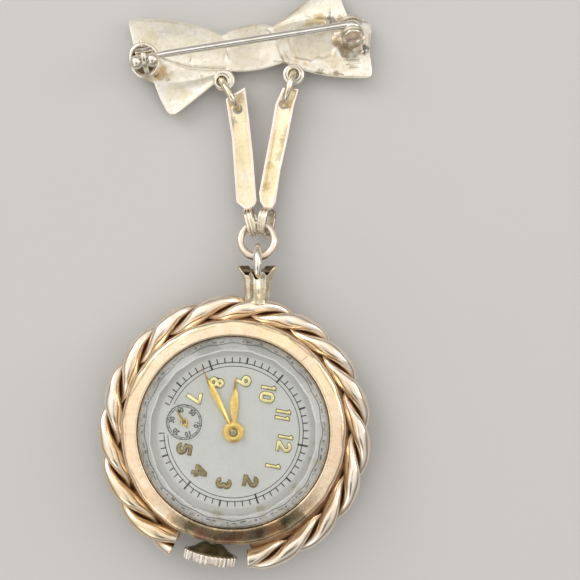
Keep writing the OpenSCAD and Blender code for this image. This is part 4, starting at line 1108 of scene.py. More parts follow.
handSettings = {
    "hour_hand": {"angle": 88, "base": 5.5, "thick": 0.16, "bore": 0.34, "boss": 0.93,
                  "widths": [(0, 0.14), (0.6, 0.17), (1.1, 0.22), (2.3, 0.37), (2.75, 0.36), (3.6, 0.17),
                             (4.1, 0.09), (4.7, 0.05)]},
    "minute_hand": {"angle": 116, "base": 5.74, "thick": 0.16, "bore": 0.34, "boss": 0.84,
                    "widths": [(0, 0.1), (0.8, 0.12), (2.2, 0.2), (3.6, 0.29), (4.2, 0.26), (5.1, 0.11),
                               (5.5, 0.06), (6.4, 0.035)]},
    "seconds_hand": {"angle": 121, "base": 5.3, "thick": 0.18, "bore": 0.16, "boss": 0.34,
                     "widths": [(-0.62, 0.03), (-0.5, 0.06), (-0.3, 0.08), (0, 0.08), (0.5, 0.09),
                                (0.9, 0.08), (1.3, 0.03)]},
}


# The section of a hand: a flat foot, low sides and a ridge in the middle
handSection = [(-1, 0), (1, 0), (1, 0.35), (0.5, 0.72), (0, 1), (-0.5, 0.72), (-1, 0.35), (-1, 0)]
handTipLift = 0.3


def leafHand(node, centre):
    cfg = handSettings[node]
    start, end = cfg["widths"][0][0], cfg["widths"][-1][0]
    turn = radians(cfg["angle"])

    def place(along, across):
        share = 0 if along in (0, 1) else 1
        reach = mix(start, end, along)
        half = table(cfg["widths"], reach) * share
        sideways, lift = handSection[round(across * (len(handSection) - 1))]
        x, y = reach, sideways * half
        z = cfg["base"] + cfg["thick"] * (lift * share + handTipLift * (1 - share))
        return (centre[0] + x * cos(turn) - y * sin(turn),
                centre[1] + x * sin(turn) + y * cos(turn), z)

    leaf = closedSweep(node + "Leaf", 40, len(handSection) - 1, place, 20)
    thick, base, bore, boss = cfg["thick"], cfg["base"], cfg["bore"], cfg["boss"]
    disc = latheProfile(node + "Boss", [
        (bore, base), (boss * 0.97, base), (boss, base + thick * 0.3), (boss * 0.96, base + thick * 0.8),
        (boss * 0.86, base + thick), (mix(bore, boss, 0.35), base + thick * 1.02),
        (mix(bore, boss, 0.15), base + thick * 0.9), (bore, base + thick * 0.7)], 64)
    disc.location = (centre[0] * mm, centre[1] * mm, 0)
    bakeTransform(disc)
    smoothByAngle(disc, 40)
    return joinPieces([leaf, disc], node.replace("_h", "H"))


def makeHands():
    for node in handSettings:
        centre = dialSettings["secondsPlace"] if node == "seconds_hand" else (0, 0)
        finishPiece(leafHand(node, centre), node, looks["gilt"], [node])


def makeArborTop():
    # The arbor's rounded end shows in the middle of the hands
    top = latheProfile("arborTop", [(0, 5.32), (0.33, 5.32), (0.33, 5.98), (0.29, 6.04), (0.2, 6.07),
                                    (0.14, 6.02), (0, 6.0)], 48)
    smoothByAngle(top, 40)
    finishPiece(top, "main", looks["arbor"])


makeFigures()
makeHands()
makeArborTop()
print("figures and hands made")


# The bow's own level frame: u to the right, v up, turned to where the bow lies

bowFrame = {
    "centre": (1.51, 33.9),
    "turn": 9.0,
    "pinV": 0.49,
    "pinHeight": 3.35,
    "hingeU": 8.95,
    "hingeLean": 35.0,
    "stemRise": 0.62,
    "catchU": -9.5,
}
bowTurn = radians(bowFrame["turn"])
uWay = Vector((*onCircle(1, bowTurn), 0))
vWay = Vector((-uWay.y, uWay.x, 0))
leanTurn = radians(bowFrame["hingeLean"])
hingeWay = -vWay * cos(leanTurn) + Vector((0, 0, sin(leanTurn)))
liftWay = vWay * sin(leanTurn) + Vector((0, 0, cos(leanTurn)))


def onBow(u, v, z):
    spot = uWay * u + vWay * v
    return Vector((bowFrame["centre"][0] + spot.x, bowFrame["centre"][1] + spot.y, z))


hingeSpot = onBow(bowFrame["hingeU"], bowFrame["pinV"], bowFrame["pinHeight"])
hingeSpot -= liftWay * bowFrame["stemRise"]
catchSpot = onBow(bowFrame["catchU"], bowFrame["pinV"], bowFrame["pinHeight"])

# Bow shell: edges of the left wing as place, u and v; the right wing is the left one turned round
bowShape = {
    "top": [(0, (-2.5, 1.65)), (0.15, (-3.7, 2.38)), (0.3, (-5.0, 2.98)), (0.48, (-6.4, 3.5)),
            (0.65, (-7.8, 3.88)), (0.85, (-9.2, 4.16)), (1, (-10.1, 4.3))],
    "bottom": [(0, (-2.15, -1.7)), (0.3, (-3.9, -2.62)), (0.75, (-6.9, -4.3)), (0.93, (-7.6, -4.66)),
               (1, (-7.9, -4.7))],
    "end": [(0, (-7.9, -4.7)), (0.04, (-8.2, -4.62)), (0.08, (-8.4, -4.35)), (0.2, (-8.8, -3.2)),
            (0.36, (-9.15, -1.6)), (0.43, (-9.8, -1.25)), (0.5, (-10.45, -0.8)), (0.57, (-10.72, 0.0)),
            (0.75, (-10.45, 2.1)), (0.93, (-10.55, 3.85)), (0.97, (-10.42, 4.2)), (1, (-10.1, 4.3))],
    "knotTop": [(0, (-2.5, 1.65)), (0.12, (-1.95, 1.9)), (0.25, (-1.3, 2.05)), (0.5, (0.3, 2.2)),
                (0.75, (1.4, 2.0)), (1, (2.15, 1.7))],
    "rightSize": 0.97,
    "rightPush": [(-4.4, 0), (-3.7, 0.05), (-2.5, 0.18), (-1.2, 0.25), (-0.3, 0.36), (0.3, 0.46),
                  (0.62, 0.52), (0.85, 0.34), (1.1, 0.1), (1.3, 0)],
    "knotSag": 0.25,
    "back": 1.55,
    "hollow": 0.45,
    "metal": 0.6,
    "floorGap": 0.02,
    "rimLift": 0.05,
    "rimShare": 0.035,
    "marksFade": 0.05,
    "columns": 232,
    "rows": 84,
    "rim": 0.11,
}
wingCells, knotCells = 12, 5


def tableAt(rows, k):
    k = clip(k)
    for (k0, p0), (k1, p1) in zip(rows, rows[1:]):
        if k <= k1:
            part = (k - k0) / (k1 - k0)
            return Vector((mix(p0[0], p1[0], part), mix(p0[1], p1[1], part)))
    return Vector(rows[-1][1])


def wingPoint(s, t):
    low, high = tableAt(bowShape["bottom"], s), tableAt(bowShape["top"], s)
    low0, high0 = tableAt(bowShape["bottom"], 0), tableAt(bowShape["top"], 0)
    end, end0, end1 = (tableAt(bowShape["end"], k) for k in (t, 0, 1))
    corners = low0.lerp(end0, s).lerp(high0.lerp(end1, s), t)
    return low.lerp(high, t) + low0.lerp(high0, t).lerp(end, s) - corners


def wingSwell(s, t):
    crease = 0.06 + 0.34 * s
    loop = sin(pi * (t - crease) / (1 - crease)) if t > crease else 0
    tail = 0.4 * sin(pi * t / crease) if t < crease else 0
    return (loop + tail) * (0.35 + 0.65 * sin(pi * min(1, 0.12 + 0.8 * s)))


def bowPoint(along, t):
    place = along * (2 * wingCells + knotCells)
    if place <= wingCells:
        s = 1 - place / wingCells
        return wingPoint(s, t), wingSwell(s, t)
    if place < wingCells + knotCells:
        s = (place - wingCells) / knotCells
        low = tableAt(bowShape["bottom"], 0).lerp(-tableAt(bowShape["top"], 0), s)
        low.y -= bowShape["knotSag"] * sin(pi * s)
        swell = 0.2 + 0.8 * sin(pi * s) * sin(pi * t)
        return low.lerp(tableAt(bowShape["knotTop"], s), t), swell
    s = (place - wingCells - knotCells) / wingCells
    spot = -wingPoint(s, 1 - t) * mix(1, bowShape["rightSize"], s)
    # The right end is squarer than the left
    spot.x += table(bowShape["rightPush"], spot.y) * s ** 4
    return spot, wingSwell(s, 1 - t)


# Marks on the back, in mm on the table: grooves as (points, half width, depth), raised where the
# depth is negative
bowMarks = {
    "lines": [([(-6.54, 33.03), (-5.3, 32.6), (-4.0, 32.23), (-2.34, 32.07), (-0.9, 32.1)], 0.09, 0.10),
              ([(-6.5, 33.2), (-5.3, 32.78), (-4.0, 32.42), (-2.34, 32.25), (-0.9, 32.28)], 0.08, -0.07),
              ([(-4.05, 33.3), (-3.9, 33.0), (-4.05, 32.7)], 0.05, 0.05),
              ([(10.0, 32.98), (11.1, 33.06)], 0.09, 0.10), ([(10.0, 32.64), (11.2, 32.72)], 0.09, 0.10),
              ([(10.2, 32.3), (11.1, 32.38)], 0.08, 0.08),
              ([(9.6, 31.75), (8.9, 31.9), (8.1, 31.62), (7.2, 31.86), (6.5, 31.7)], 0.07, 0.08),
              ([(2.9, 35.5), (3.6, 34.6), (4.2, 33.4), (4.5, 32.6)], 0.12, 0.10),
              ([(3.1, 35.6), (3.85, 34.7), (4.45, 33.5), (4.75, 32.8)], 0.09, -0.06),
              ([(-0.9, 35.3), (-0.7, 34.2), (-0.95, 33.0)], 0.14, 0.05),
              ([(6.3, 37.0), (7.3, 36.55), (8.4, 36.5)], 0.1, 0.07),
              ([(8.5, 37.3), (8.65, 36.6), (8.5, 35.9), (8.9, 35.4)], 0.12, 0.10)],
    "pits": [(-6.07, 31.19, 0.13, 0.2), (-7.03, 31.62, 0.2, 0.12), (11.49, 33.8, 0.4, 0.07),
             (9.1, 35.9, 0.3, 0.15), (4.7, 32.35, 0.3, 0.08), (-2.97, 31.44, 0.09, 0.08)],
    "pressed": {"centre": (7.0, 34.55), "half": (2.1, 1.6), "depth": 0.06, "rim": 0.05},
    "dots": [(11.36, 33.66, 0.17), (9.75, 33.05, 0.12), (8.1, 36.2, 0.13)],
    "grain": 0.009,
}


def lineReach(x, y, points):
    best = 9.0
    for (x0, y0), (x1, y1) in zip(points, points[1:]):
        dx, dy = x1 - x0, y1 - y0
        k = clip(((x - x0) * dx + (y - y0) * dy) / (dx * dx + dy * dy))
        best = min(best, hypot(x - x0 - k * dx, y - y0 - k * dy))
    return best


def bowRelief(x, y):
    # How far a mark lifts or lowers the back at this place, in mm
    lift = 0.0
    for points, half, depth in bowMarks["lines"]:
        if abs(x - points[0][0]) < 7 and abs(y - points[0][1]) < 4:
            reach = lineReach(x, y, points)
            if reach < 4 * half:
                lift -= depth * exp(-(reach / half) ** 2)
    for px, py, size, depth in bowMarks["pits"]:
        reach = hypot(x - px, y - py)
        if reach < 3 * size:
            lift -= depth * exp(-(reach / size) ** 4)
    mark = bowMarks["pressed"]
    du = (x - mark["centre"][0]) * uWay.x + (y - mark["centre"][1]) * uWay.y
    dv = (x - mark["centre"][0]) * vWay.x + (y - mark["centre"][1]) * vWay.y
    reach = (abs(du / mark["half"][0]) ** 2.6 + abs(dv / mark["half"][1]) ** 2.6) ** (1 / 2.6)
    if reach < 1.6:
        rough = noise.noise(Vector((x * 1.7, y * 1.7, 9)))
        reach += 0.16 * rough
        lift -= mark["depth"] * (1 - ease((reach - 0.86) / 0.16))
        rim = exp(-((reach - 1.04) / 0.07) ** 2)
        lift += mark["rim"] * rim * clip(0.6 + 2.4 * rough - 0.5 * dv)
    grain = noise.noise(Vector((x * 1.3, y * 1.3, 0))) + 0.6 * noise.noise(Vector((x * 3.1, y * 3.1, 5)))
    return lift + bowMarks["grain"] * 1.6 * grain


def makeBow():
    cfg = bowShape
    lower = {}

    def place(along, across):
        spot, swell = bowPoint(along, across)
        world = onBow(spot.x, spot.y, 0)
        edge = min(across, 1 - across, 3.2 * along, 3.2 * (1 - along))
        relief = bowRelief(world.x, world.y) * ease(edge / cfg["marksFade"])
        # A slightly thicker rim all round
        rim = cfg["rimLift"] * (1 - ease(edge / cfg["rimShare"]))
        key = (round(world.x * 1000), round(world.y * 1000))
        lower[key] = (cfg["back"] - cfg["metal"]) * (1 - swell) + cfg["floorGap"]
        return world.x, world.y, cfg["back"] - cfg["hollow"] * swell + relief + rim

    shell = gridPiece("bowShell", cfg["columns"], cfg["rows"], place)
    editAll(shell)
    bpy.ops.mesh.extrude_region_move(TRANSFORM_OT_translate={"value": (0, 0, -0.5 * mm)})
    leaveEdit()
    for vertex in shell.data.vertices:
        if vertex.select:
            key = (round(vertex.co.x * 1e6), round(vertex.co.y * 1e6))
            vertex.co.z = lower.get(key, 0.9) * mm
    fixNormals(shell)
    bevelEdges(shell, cfg["rim"], 3, 52, 50)
    finishPiece(shell, "main", looks["bow"], ["bow_brooch"])


def makeSolderDots():
    # Small beads of solder left on the back
    dots = []
    for x, y, size in bowMarks["dots"]:
        bpy.ops.mesh.primitive_uv_sphere_add(segments=24, ring_count=16, radius=size * mm,
                                             location=(x * mm, y * mm, 1.5 * mm))
        dots.append(newPiece("solderDot"))
        bakeTransform(dots[-1])
    dots = joinPieces(dots, "solderDots")
    smoothByAngle(dots, 60)
    finishPiece(dots, "main", looks["polished"], ["bow_brooch"])


makeBow()
makeSolderDots()
print("bow made")


# Lugs: round tabs with a raised rim round the hole that each jump ring hangs in

lugSettings = {
    "holes": [(-1.19, 30.97), (5.21, 31.62)],
    "centres": [(-0.99, 31.06), (5.21, 31.56)],
    "profile": [(0.43, 1.34), (0.9, 1.32), (0.98, 1.4), (1.0, 1.58), (0.97, 1.72), (0.9, 1.79), (0.78, 1.8),
                (0.72, 1.82), (0.68, 1.9), (0.61, 1.95), (0.53, 1.94), (0.46, 1.88), (0.43, 1.78)],
}


def makeLugs():
    lugs = []
    for hole, centre in zip(lugSettings["holes"], lugSettings["centres"]):
        lug = latheProfile("lug", lugSettings["profile"], 72)
        for vertex in lug.data.vertices:
            share = clip((hypot(vertex.co.x, vertex.co.y) / mm - 0.7) / 0.25)
            vertex.co.x += mix(hole[0], centre[0], share) * mm
            vertex.co.y += mix(hole[1], centre[1], share) * mm
        lugs.append(lug)
    lugs = joinPieces(lugs, "bowLugs")
    smoothByAngle(lugs, 50)
    finishPiece(lugs, "main", looks["lug"], ["bow_brooch"])


makeLugs()
print("lugs made")


# Catch: a soldered cup, a band with an open mouth, and a roller with two ball knobs

catchSettings = {
    "cupSpot": (-9.68, 0.46),
    "cupStretch": (1.0, 1.16),
    "cup": [(0, 1.1), (1.32, 1.1), (1.42, 1.35), (1.45, 1.72), (1.42, 1.86), (1.33, 1.95), (1.2, 1.98),
            (1.08, 1.94), (1.0, 1.84), (0.95, 1.7), (0.85, 1.63), (0, 1.61)],
    "hollowLow": 1.5,
    "hollowRadius": 1.06,
    "bandRadius": 1.13,
    "bandThick": 0.4,
    "bandWide": 0.44,
    "mouth": 22,
    "footAngle": 215,
    "footSpread": 48,
    "footGrow": 0.12,
    # Name, place on the band, place on the cup, and how far the foot bends
    "feet": [("catchFootLow", (-0.62, 2.55), (-1.5, 1.62), -0.12),
             ("catchFootHigh", (1.35, 3.0), (1.55, 1.62), 0.08)],
    "feetAside": 0.12,
    "feetWide": 0.21,
    "rollerRadius": 0.81,
    "rollerHalf": 0.78,
    "bore": 0.42,
    "knobSize": 0.62,
    "knobOut": 0.97,
    "knobAlong": 0.7,
    "knobFlat": 0.37,
    "knobSquash": 0.1,
    "knobTurn": 64,
}


def roundBox(q, halfA, halfB, power=4.0):
    # A rounded rectangle's point at angle q
    return tuple(copysign(abs(v) ** (2 / power), v) * half
                 for v, half in ((cos(q), halfA), (sin(q), halfB)))


def makeCatch():
    cfg = catchSettings
    cup = latheProfile("catchCup", cfg["cup"], 96)
    spot = onBow(*cfg["cupSpot"], 0)
    for vertex in cup.data.vertices:
        ripple = 1 + 0.02 * sin(3 * atan2(vertex.co.y, vertex.co.x) + 1)
        u, v = vertex.co.x * ripple * cfg["cupStretch"][0], vertex.co.y * ripple * cfg["cupStretch"][1]
        vertex.co.x, vertex.co.y = (spot * mm + uWay * u + vWay * v).xy
    smoothByAngle(cup, 50)
    finishPiece(cup, "main", looks["fittings"], ["bow_brooch"])
    # Painted shade: the inside of the cup is painted dark
    paintFaces(cup, looks["hollow"], lambda face: face.center.z > cfg["hollowLow"] * mm
               and (face.center - spot * mm).xy.length < cfg["hollowRadius"] * mm)

    # The band lies in the plane across the pin; it opens towards the way the pin lifts
    start, end = cfg["mouth"], 360 - cfg["mouth"]

    def bandPlace(along, across):
        share = endShare(along, 96, (0, 0.75, 1))
        turn = radians(mix(start, end, along))
        # The band thickens and spreads into its foot at the bottom
        foot = cfg["footGrow"] * exp(-((degrees(turn) - cfg["footAngle"]) / cfg["footSpread"]) ** 2)
        thick, wide = roundBox(tau * across, (cfg["bandThick"] / 2 + foot) * share,
                               cfg["bandWide"] / 2 * share)
        return *onCircle(cfg["bandRadius"] + foot + thick, turn), wide

    band = closedSweep("catchBand", 96, 24, bandPlace, 50)
    frameMap(band, catchSpot, liftWay, uWay)

    # Two feet run down from the band to the cup's rim
    feet = []
    for name, top, low, bend in cfg["feet"]:
        def footPlace(along, across, top=top, low=low, bend=bend):
            share = endShare(along, 20, (0, 0.8, 1))
            bow = sin(pi * along)
            a, b = roundBox(tau * across, cfg["feetWide"] * share, (0.2 + 0.06 * along) * share)
            v = mix(top[0], low[0], along) + bend * bow + b * 0.9
            z = mix(top[1], low[1], along) + 0.1 * bow + b * 0.4
            return onBow(cfg["cupSpot"][0] + cfg["feetAside"] + a, bowFrame["pinV"] + v, z)
        feet.append(closedSweep(name, 20, 20, footPlace, 60))
    band = joinPieces([band] + feet, "catchBand")
    finishPiece(band, "main", looks["fittings"], ["bow_brooch"])

    def rollerPlace(along, across):
        # A slotted tube: its section is a C whose gap faces the pin's way out
        inner, outer = cfg["bore"], cfg["rollerRadius"]
        gap = degrees(asin(inner / outer)) + 2
        turn = radians(mix(gap, 360 - gap, along))
        share = endShare(along, 64)
        thick, wide = roundBox(tau * across, (outer - inner) / 2 * share, cfg["rollerHalf"] * share, 6)
        return *onCircle((outer + inner) / 2 + thick, turn), wide

    parts = [closedSweep("rollerTube", 64, 28, rollerPlace, 50)]
    outX, outY = onCircle(cfg["knobOut"], radians(cfg["knobTurn"]))
    for side in (-1, 1):
        bpy.ops.mesh.primitive_uv_sphere_add(segments=40, ring_count=24, radius=cfg["knobSize"] * mm)
        knob = bpy.context.active_object
        for vertex in knob.data.vertices:
            # The ball is flattened where it faces the band
            flat = (cfg["knobAlong"] - cfg["knobFlat"]) * mm
            inward = -vertex.co.z * side
            if inward > flat:
                vertex.co.z = -side * (flat + (inward - flat) * cfg["knobSquash"])
            vertex.co += Vector((outX, outY, side * cfg["knobAlong"])) * mm
        smoothByAngle(knob, 60)
        parts.append(knob)
    roller = joinPieces(parts, "catchRollerKnobs")
    frameMap(roller, catchSpot, liftWay, uWay)
    finishPiece(roller, "roller", looks["fittings"], ["catch_roller"])


makeCatch()
print("catch made")


# Hinge: two upright ears on soldered feet, a dished rivet head, and the pin with its round knuckle

hingeSettings = {
    "earRadius": 1.02,
    "earStart": 0.47,
    "earThick": 0.32,
    "earShoulder": -0.35,
    "legs": (1.75, 1.3),
    "earSlant": -0.3,
    "earSides": (-0.95, 0.8),
    "moundFloor": 1.15,
    "rivet": [(0, -0.84), (0.22, -0.84), (0.22, 0.8), (0.84, 0.81), (0.9, 0.88), (0.89, 0.98), (0.82, 1.05),
              (0.74, 1.05), (0.66, 0.99), (0.5, 0.9), (0.3, 0.86), (0, 0.85)],
    "rivetRim": 0.64,
    "feet": [((8.75, -0.8), 1.25, 0.55), ((9.15, 0.75), 0.85, 0.5)],
    "pinRadius": 0.335,
    "pinLength": 19.4,
    "pointLength": 3.2,
    "knuckle": [(0.26, -0.4), (0.82, -0.4), (0.91, -0.33), (0.95, -0.2), (0.95, 0.2), (0.91, 0.33),
                (0.82, 0.4), (0.26, 0.4)],
}


def makeHinge():
    cfg = hingeSettings
    parts = []
    shoulder = cfg["earShoulder"]
    for index, (start, leg) in enumerate(((cfg["earStart"], cfg["legs"][0]),
                                          (-cfg["earStart"] - cfg["earThick"], cfg["legs"][1]))):
        deselectAll()
        bpy.ops.mesh.primitive_circle_add(vertices=64, radius=cfg["earRadius"] * mm, fill_type="NGON")
        ear = newPiece(f"hingeEar{index}")
        for vertex in ear.data.vertices:
            x, y = vertex.co.x / mm, vertex.co.y / mm
            if y < shoulder:
                share = (shoulder - y) / (cfg["earRadius"] + shoulder)
                y = mix(shoulder, -leg, share ** 0.7)
                x = x * mix(1, 1.3, share) + cfg["earSlant"] * share
                x = max(cfg["earSides"][0], min(cfg["earSides"][1], x))
            vertex.co = (x * mm, y * mm, start * mm)
        editAll(ear)
        bpy.ops.mesh.extrude_region_move(TRANSFORM_OT_translate={"value": (0, 0, cfg["earThick"] * mm)})
        leaveEdit()
        fixNormals(ear)
        bevelEdges(ear, 0.1, 4, 50, 45)
        frameMap(ear, hingeSpot, uWay, hingeWay)
        parts.append(ear)
    for index, ((u, v), radius, tall) in enumerate(cfg["feet"]):
        # A soft mound of solder
        def moundPlace(along, across, u=u, v=v, radius=radius, tall=tall):
            turn = tau * along
            wave = 1 + 0.12 * sin(3 * turn + index) + 0.07 * sin(5 * turn)
            reach = radius * wave * across * 1.15
            z = cfg["moundFloor"] + tall * exp(-(across * 1.25) ** 4) + 0.03 * sin(7 * turn) * across
            return onBow(u + reach * cos(turn), v + reach * sin(turn), z)
        mound = gridPiece(f"hingeMound{index}", 48, 14, moundPlace)
        fixNormals(mound)
        smoothByAngle(mound, 60)
        parts.append(mound)
    bracket = joinPieces(parts, "hingeBracket")
    finishPiece(bracket, "main", looks["solder"], ["bow_brooch"])

    rivet = latheProfile("hingeRivetDished", cfg["rivet"], 72)
    bevelEdges(rivet, 0.025, 2, 30, 45)
    frameMap(rivet, hingeSpot, uWay, hingeWay)
    finishPiece(rivet, "main", looks["rivet"], ["hinge_rivet"])

    def onRim(face):
        away = face.center - hingeSpot * mm
        return (away - hingeWay * away.dot(hingeWay)).length > cfg["rivetRim"] * mm

    # Rubbing has bared the pale metal on the head's raised rim
    paintFaces(rivet, looks["fittings"], onRim)


def makePin():
    cfg = hingeSettings
    length = cfg["pinLength"]
    radii = [(0, 0.38), (1.6, 0.35), (2.2, cfg["pinRadius"]),
             (length - cfg["pointLength"], cfg["pinRadius"]), (length - 1.2, 0.2), (length, 0.05)]

    def wirePlace(along, across):
        reach = mix(0, length, along)
        radius = table(radii, reach) * endShare(along, 160, (0, 0.7, 1))
        q = tau * across
        # Worn a little flat along its upper side
        up = min(radius * sin(q), radius * 0.9)
        return -reach, bowFrame["stemRise"] + up, radius * cos(q)

    wire = closedSweep("pinWire", 160, 28, wirePlace, 60)
    knuckle = latheProfile("pinKnuckle", cfg["knuckle"], 72)
    smoothByAngle(knuckle, 50)
    pin = joinPieces([wire, knuckle], "pinStemWire")
    frameMap(pin, hingeSpot, uWay, hingeWay)
    finishPiece(pin, "pin", looks["pin"], ["pin_stem"])


makeHinge()
makePin()
print("hinge and pin made")


# Rings of round wire, each a torus laid in its place

ringLean = radians(13.5)
# Node, name, slot, look, centre, axis, radius, radius of the wire and how egg-shaped
ringSettings = [
    ("upper_ring_left", "jumpRingLeft", "yellow_gold_fill", "rings", (-0.4776, 29.7244, 1.8),
     (0.868, 0.4965, 0), 1.45, 0.3, 0.02),
    ("upper_ring_right", "jumpRingRight", "yellow_gold_fill", "rings", (4.7938, 30.2467, 1.8),
     (0.957, -0.29, 0), 1.45, 0.3, 0.02),
    ("main_ring", "mainRing", "pale_gilt", "mainRing", (1.96, 16.81, 2.18),
     (0, sin(ringLean), cos(ringLean)), 1.51, 0.35, 0.035),
    ("bail", "bailRing", "pale_gilt", "polished", (2.04, 14.68, 2.55), (1, 0, 0), 1.45, 0.38, 0.0),
]


def makeRings():
    for node, name, slotName, look, centre, axis, radius, wire, egg in ringSettings:
        deselectAll()
        bpy.ops.mesh.primitive_torus_add(major_segments=112, minor_segments=32, major_radius=radius * mm,
                                         minor_radius=wire * mm)
        ring = newPiece(name)
        for vertex in ring.data.vertices:
            turn = atan2(vertex.co.y, vertex.co.x)
            # Old rings are never quite round, and the wire never quite even
            vertex.co.x *= 1 + egg * cos(turn + 0.9)
            vertex.co.y *= 1 + egg * cos(turn + 0.9)
            vertex.co.z *= 1 + 0.04 * sin(3 * turn + radius)
        smoothByAngle(ring, 60)
        sideways = (0, 0, 1) if abs(axis[2]) < 0.5 else (1, 0, 0)
        frameMap(ring, centre, sideways, axis)
        finishPiece(ring, "main", looks[look], [node])


makeRings()
print("rings made")


# Bars: shallow troughs, each with a ribbed loop round the main ring

barSettings = {
    "rim": 0.07,
    "footEnd": 19.52,
    "pivot": (4.378, 28.873, 1.55),
    "lipHeight": 0.3,
    "normals": {"bar_left": (0, 0, 1), "bar_right": (-0.1716, 0.0264, 0.9848)},
    "loopWide": 0.86,
    "loopHigh": 1.94,
    "loopLong": 2.55,
    "wall": 0.22,
    "ridges": 3,
    "loops": [("loopLeft", "bar_left", (1.45, 18.38, 1.86), (-0.27, 0.963, 0), -8),
              ("loopRight", "bar_right", (2.77, 18.42, 1.86), (0.17, 0.985, 0), -28)],
}


def makeBars():
    for node in ("bar_left", "bar_right"):
        bar = bevelNode(node, node.replace("bar_", "chainBar_"), barSettings["rim"], 3)
        # The loop is modelled on its own below, so the bar ends at its foot
        editAll(bar)
        bpy.ops.mesh.bisect(plane_co=(0, barSettings["footEnd"] * mm, 0), plane_no=(0, -1, 0),
                            use_fill=True, clear_outer=True)
        leaveEdit()
        smoothByAngle(bar, 35)
        finishPiece(bar, "main", looks["bars"], [node])
        pivot, normal = Vector(barSettings["pivot"]), Vector(barSettings["normals"][node])

        def onEdge(face):
            height = (face.center / mm - pivot).dot(normal)
            return height > barSettings["lipHeight"] or face.normal.dot(normal) < 0.8

        paintFaces(bar, looks["barEdges"], onEdge)


def makeLoops():
    cfg = barSettings
    for name, node, centre, along, roll in cfg["loops"]:
        way = Vector(along).normalized()
        turn = radians(roll)
        bandWay = Vector((-way.y * cos(turn), way.x * cos(turn), sin(turn)))
        straight, radius = cfg["loopLong"] - cfg["loopHigh"], cfg["loopHigh"] / 2 - cfg["wall"] / 2
        total = 2 * straight + tau * radius

        def place(k, across):
            # Round the long closed path, and round the band's ridged section
            run = (k * total) % total
            if run < straight:
                x, q = -straight / 2 + run, pi / 2
            elif run < straight + pi * radius:
                x, q = straight / 2, pi / 2 - (run - straight) / radius
            elif run < 2 * straight + pi * radius:
                x, q = straight / 2 - (run - straight - pi * radius), -pi / 2
            else:
                x, q = -straight / 2, -pi / 2 - (run - 2 * straight - pi * radius) / radius
            if across < 0.7:
                w = mix(-1, 1, across / 0.7)
                edge = 1 - 0.35 * ease((abs(w) - 0.85) / 0.15)
                ridge = abs(sin(pi * cfg["ridges"] * (w + 1) / 2)) - 0.5
                out = (cfg["wall"] / 2) * edge + 0.17 * ridge * edge
            else:
                w = mix(1, -1, (across - 0.7) / 0.3)
                out = -cfg["wall"] / 2 * (1 - 0.5 * ease((abs(w) - 0.8) / 0.2))
            awayX, awayY = onCircle(radius + out, q)
            return x + awayX, awayY, w * cfg["loopWide"] / 2

        loop = closedSweep(name, 120, 40, place, 45)
        frameMap(loop, centre, way, bandWay)
        finishPiece(loop, "main", looks["loops"], [node])


makeBars()
makeLoops()
print("bars and loops made")


# Pendant cap: a fluted tulip whose two lobes curl outwards at either side of the bail

capSettings = {
    "x": 1.98,
    "foot": 10.95,
    "height": 2.9,
    "tall": 3.5,
    "nearLip": [(0, 2.3), (0.14, 2.32), (0.26, 2.62), (0.38, 2.92), (0.5, 2.86), (0.64, 2.62), (0.78, 2.66),
                (0.9, 3.05), (0.97, 3.4), (1, 3.5)],
    "backTall": 1.8,
    "outer": [(0, 1.1), (0.05, 1.17), (0.12, 1.1), (0.3, 1.1), (0.5, 1.15), (0.7, 1.27), (0.85, 1.45),
              (0.95, 1.6), (1, 1.68)],
    "wall": 0.2,
    "stations": (0.62, 0.7),
    "deep": 0.6,
    "pinRadius": 0.24,
    "pinLength": 2.6,
    "pinY": 13.96,
}


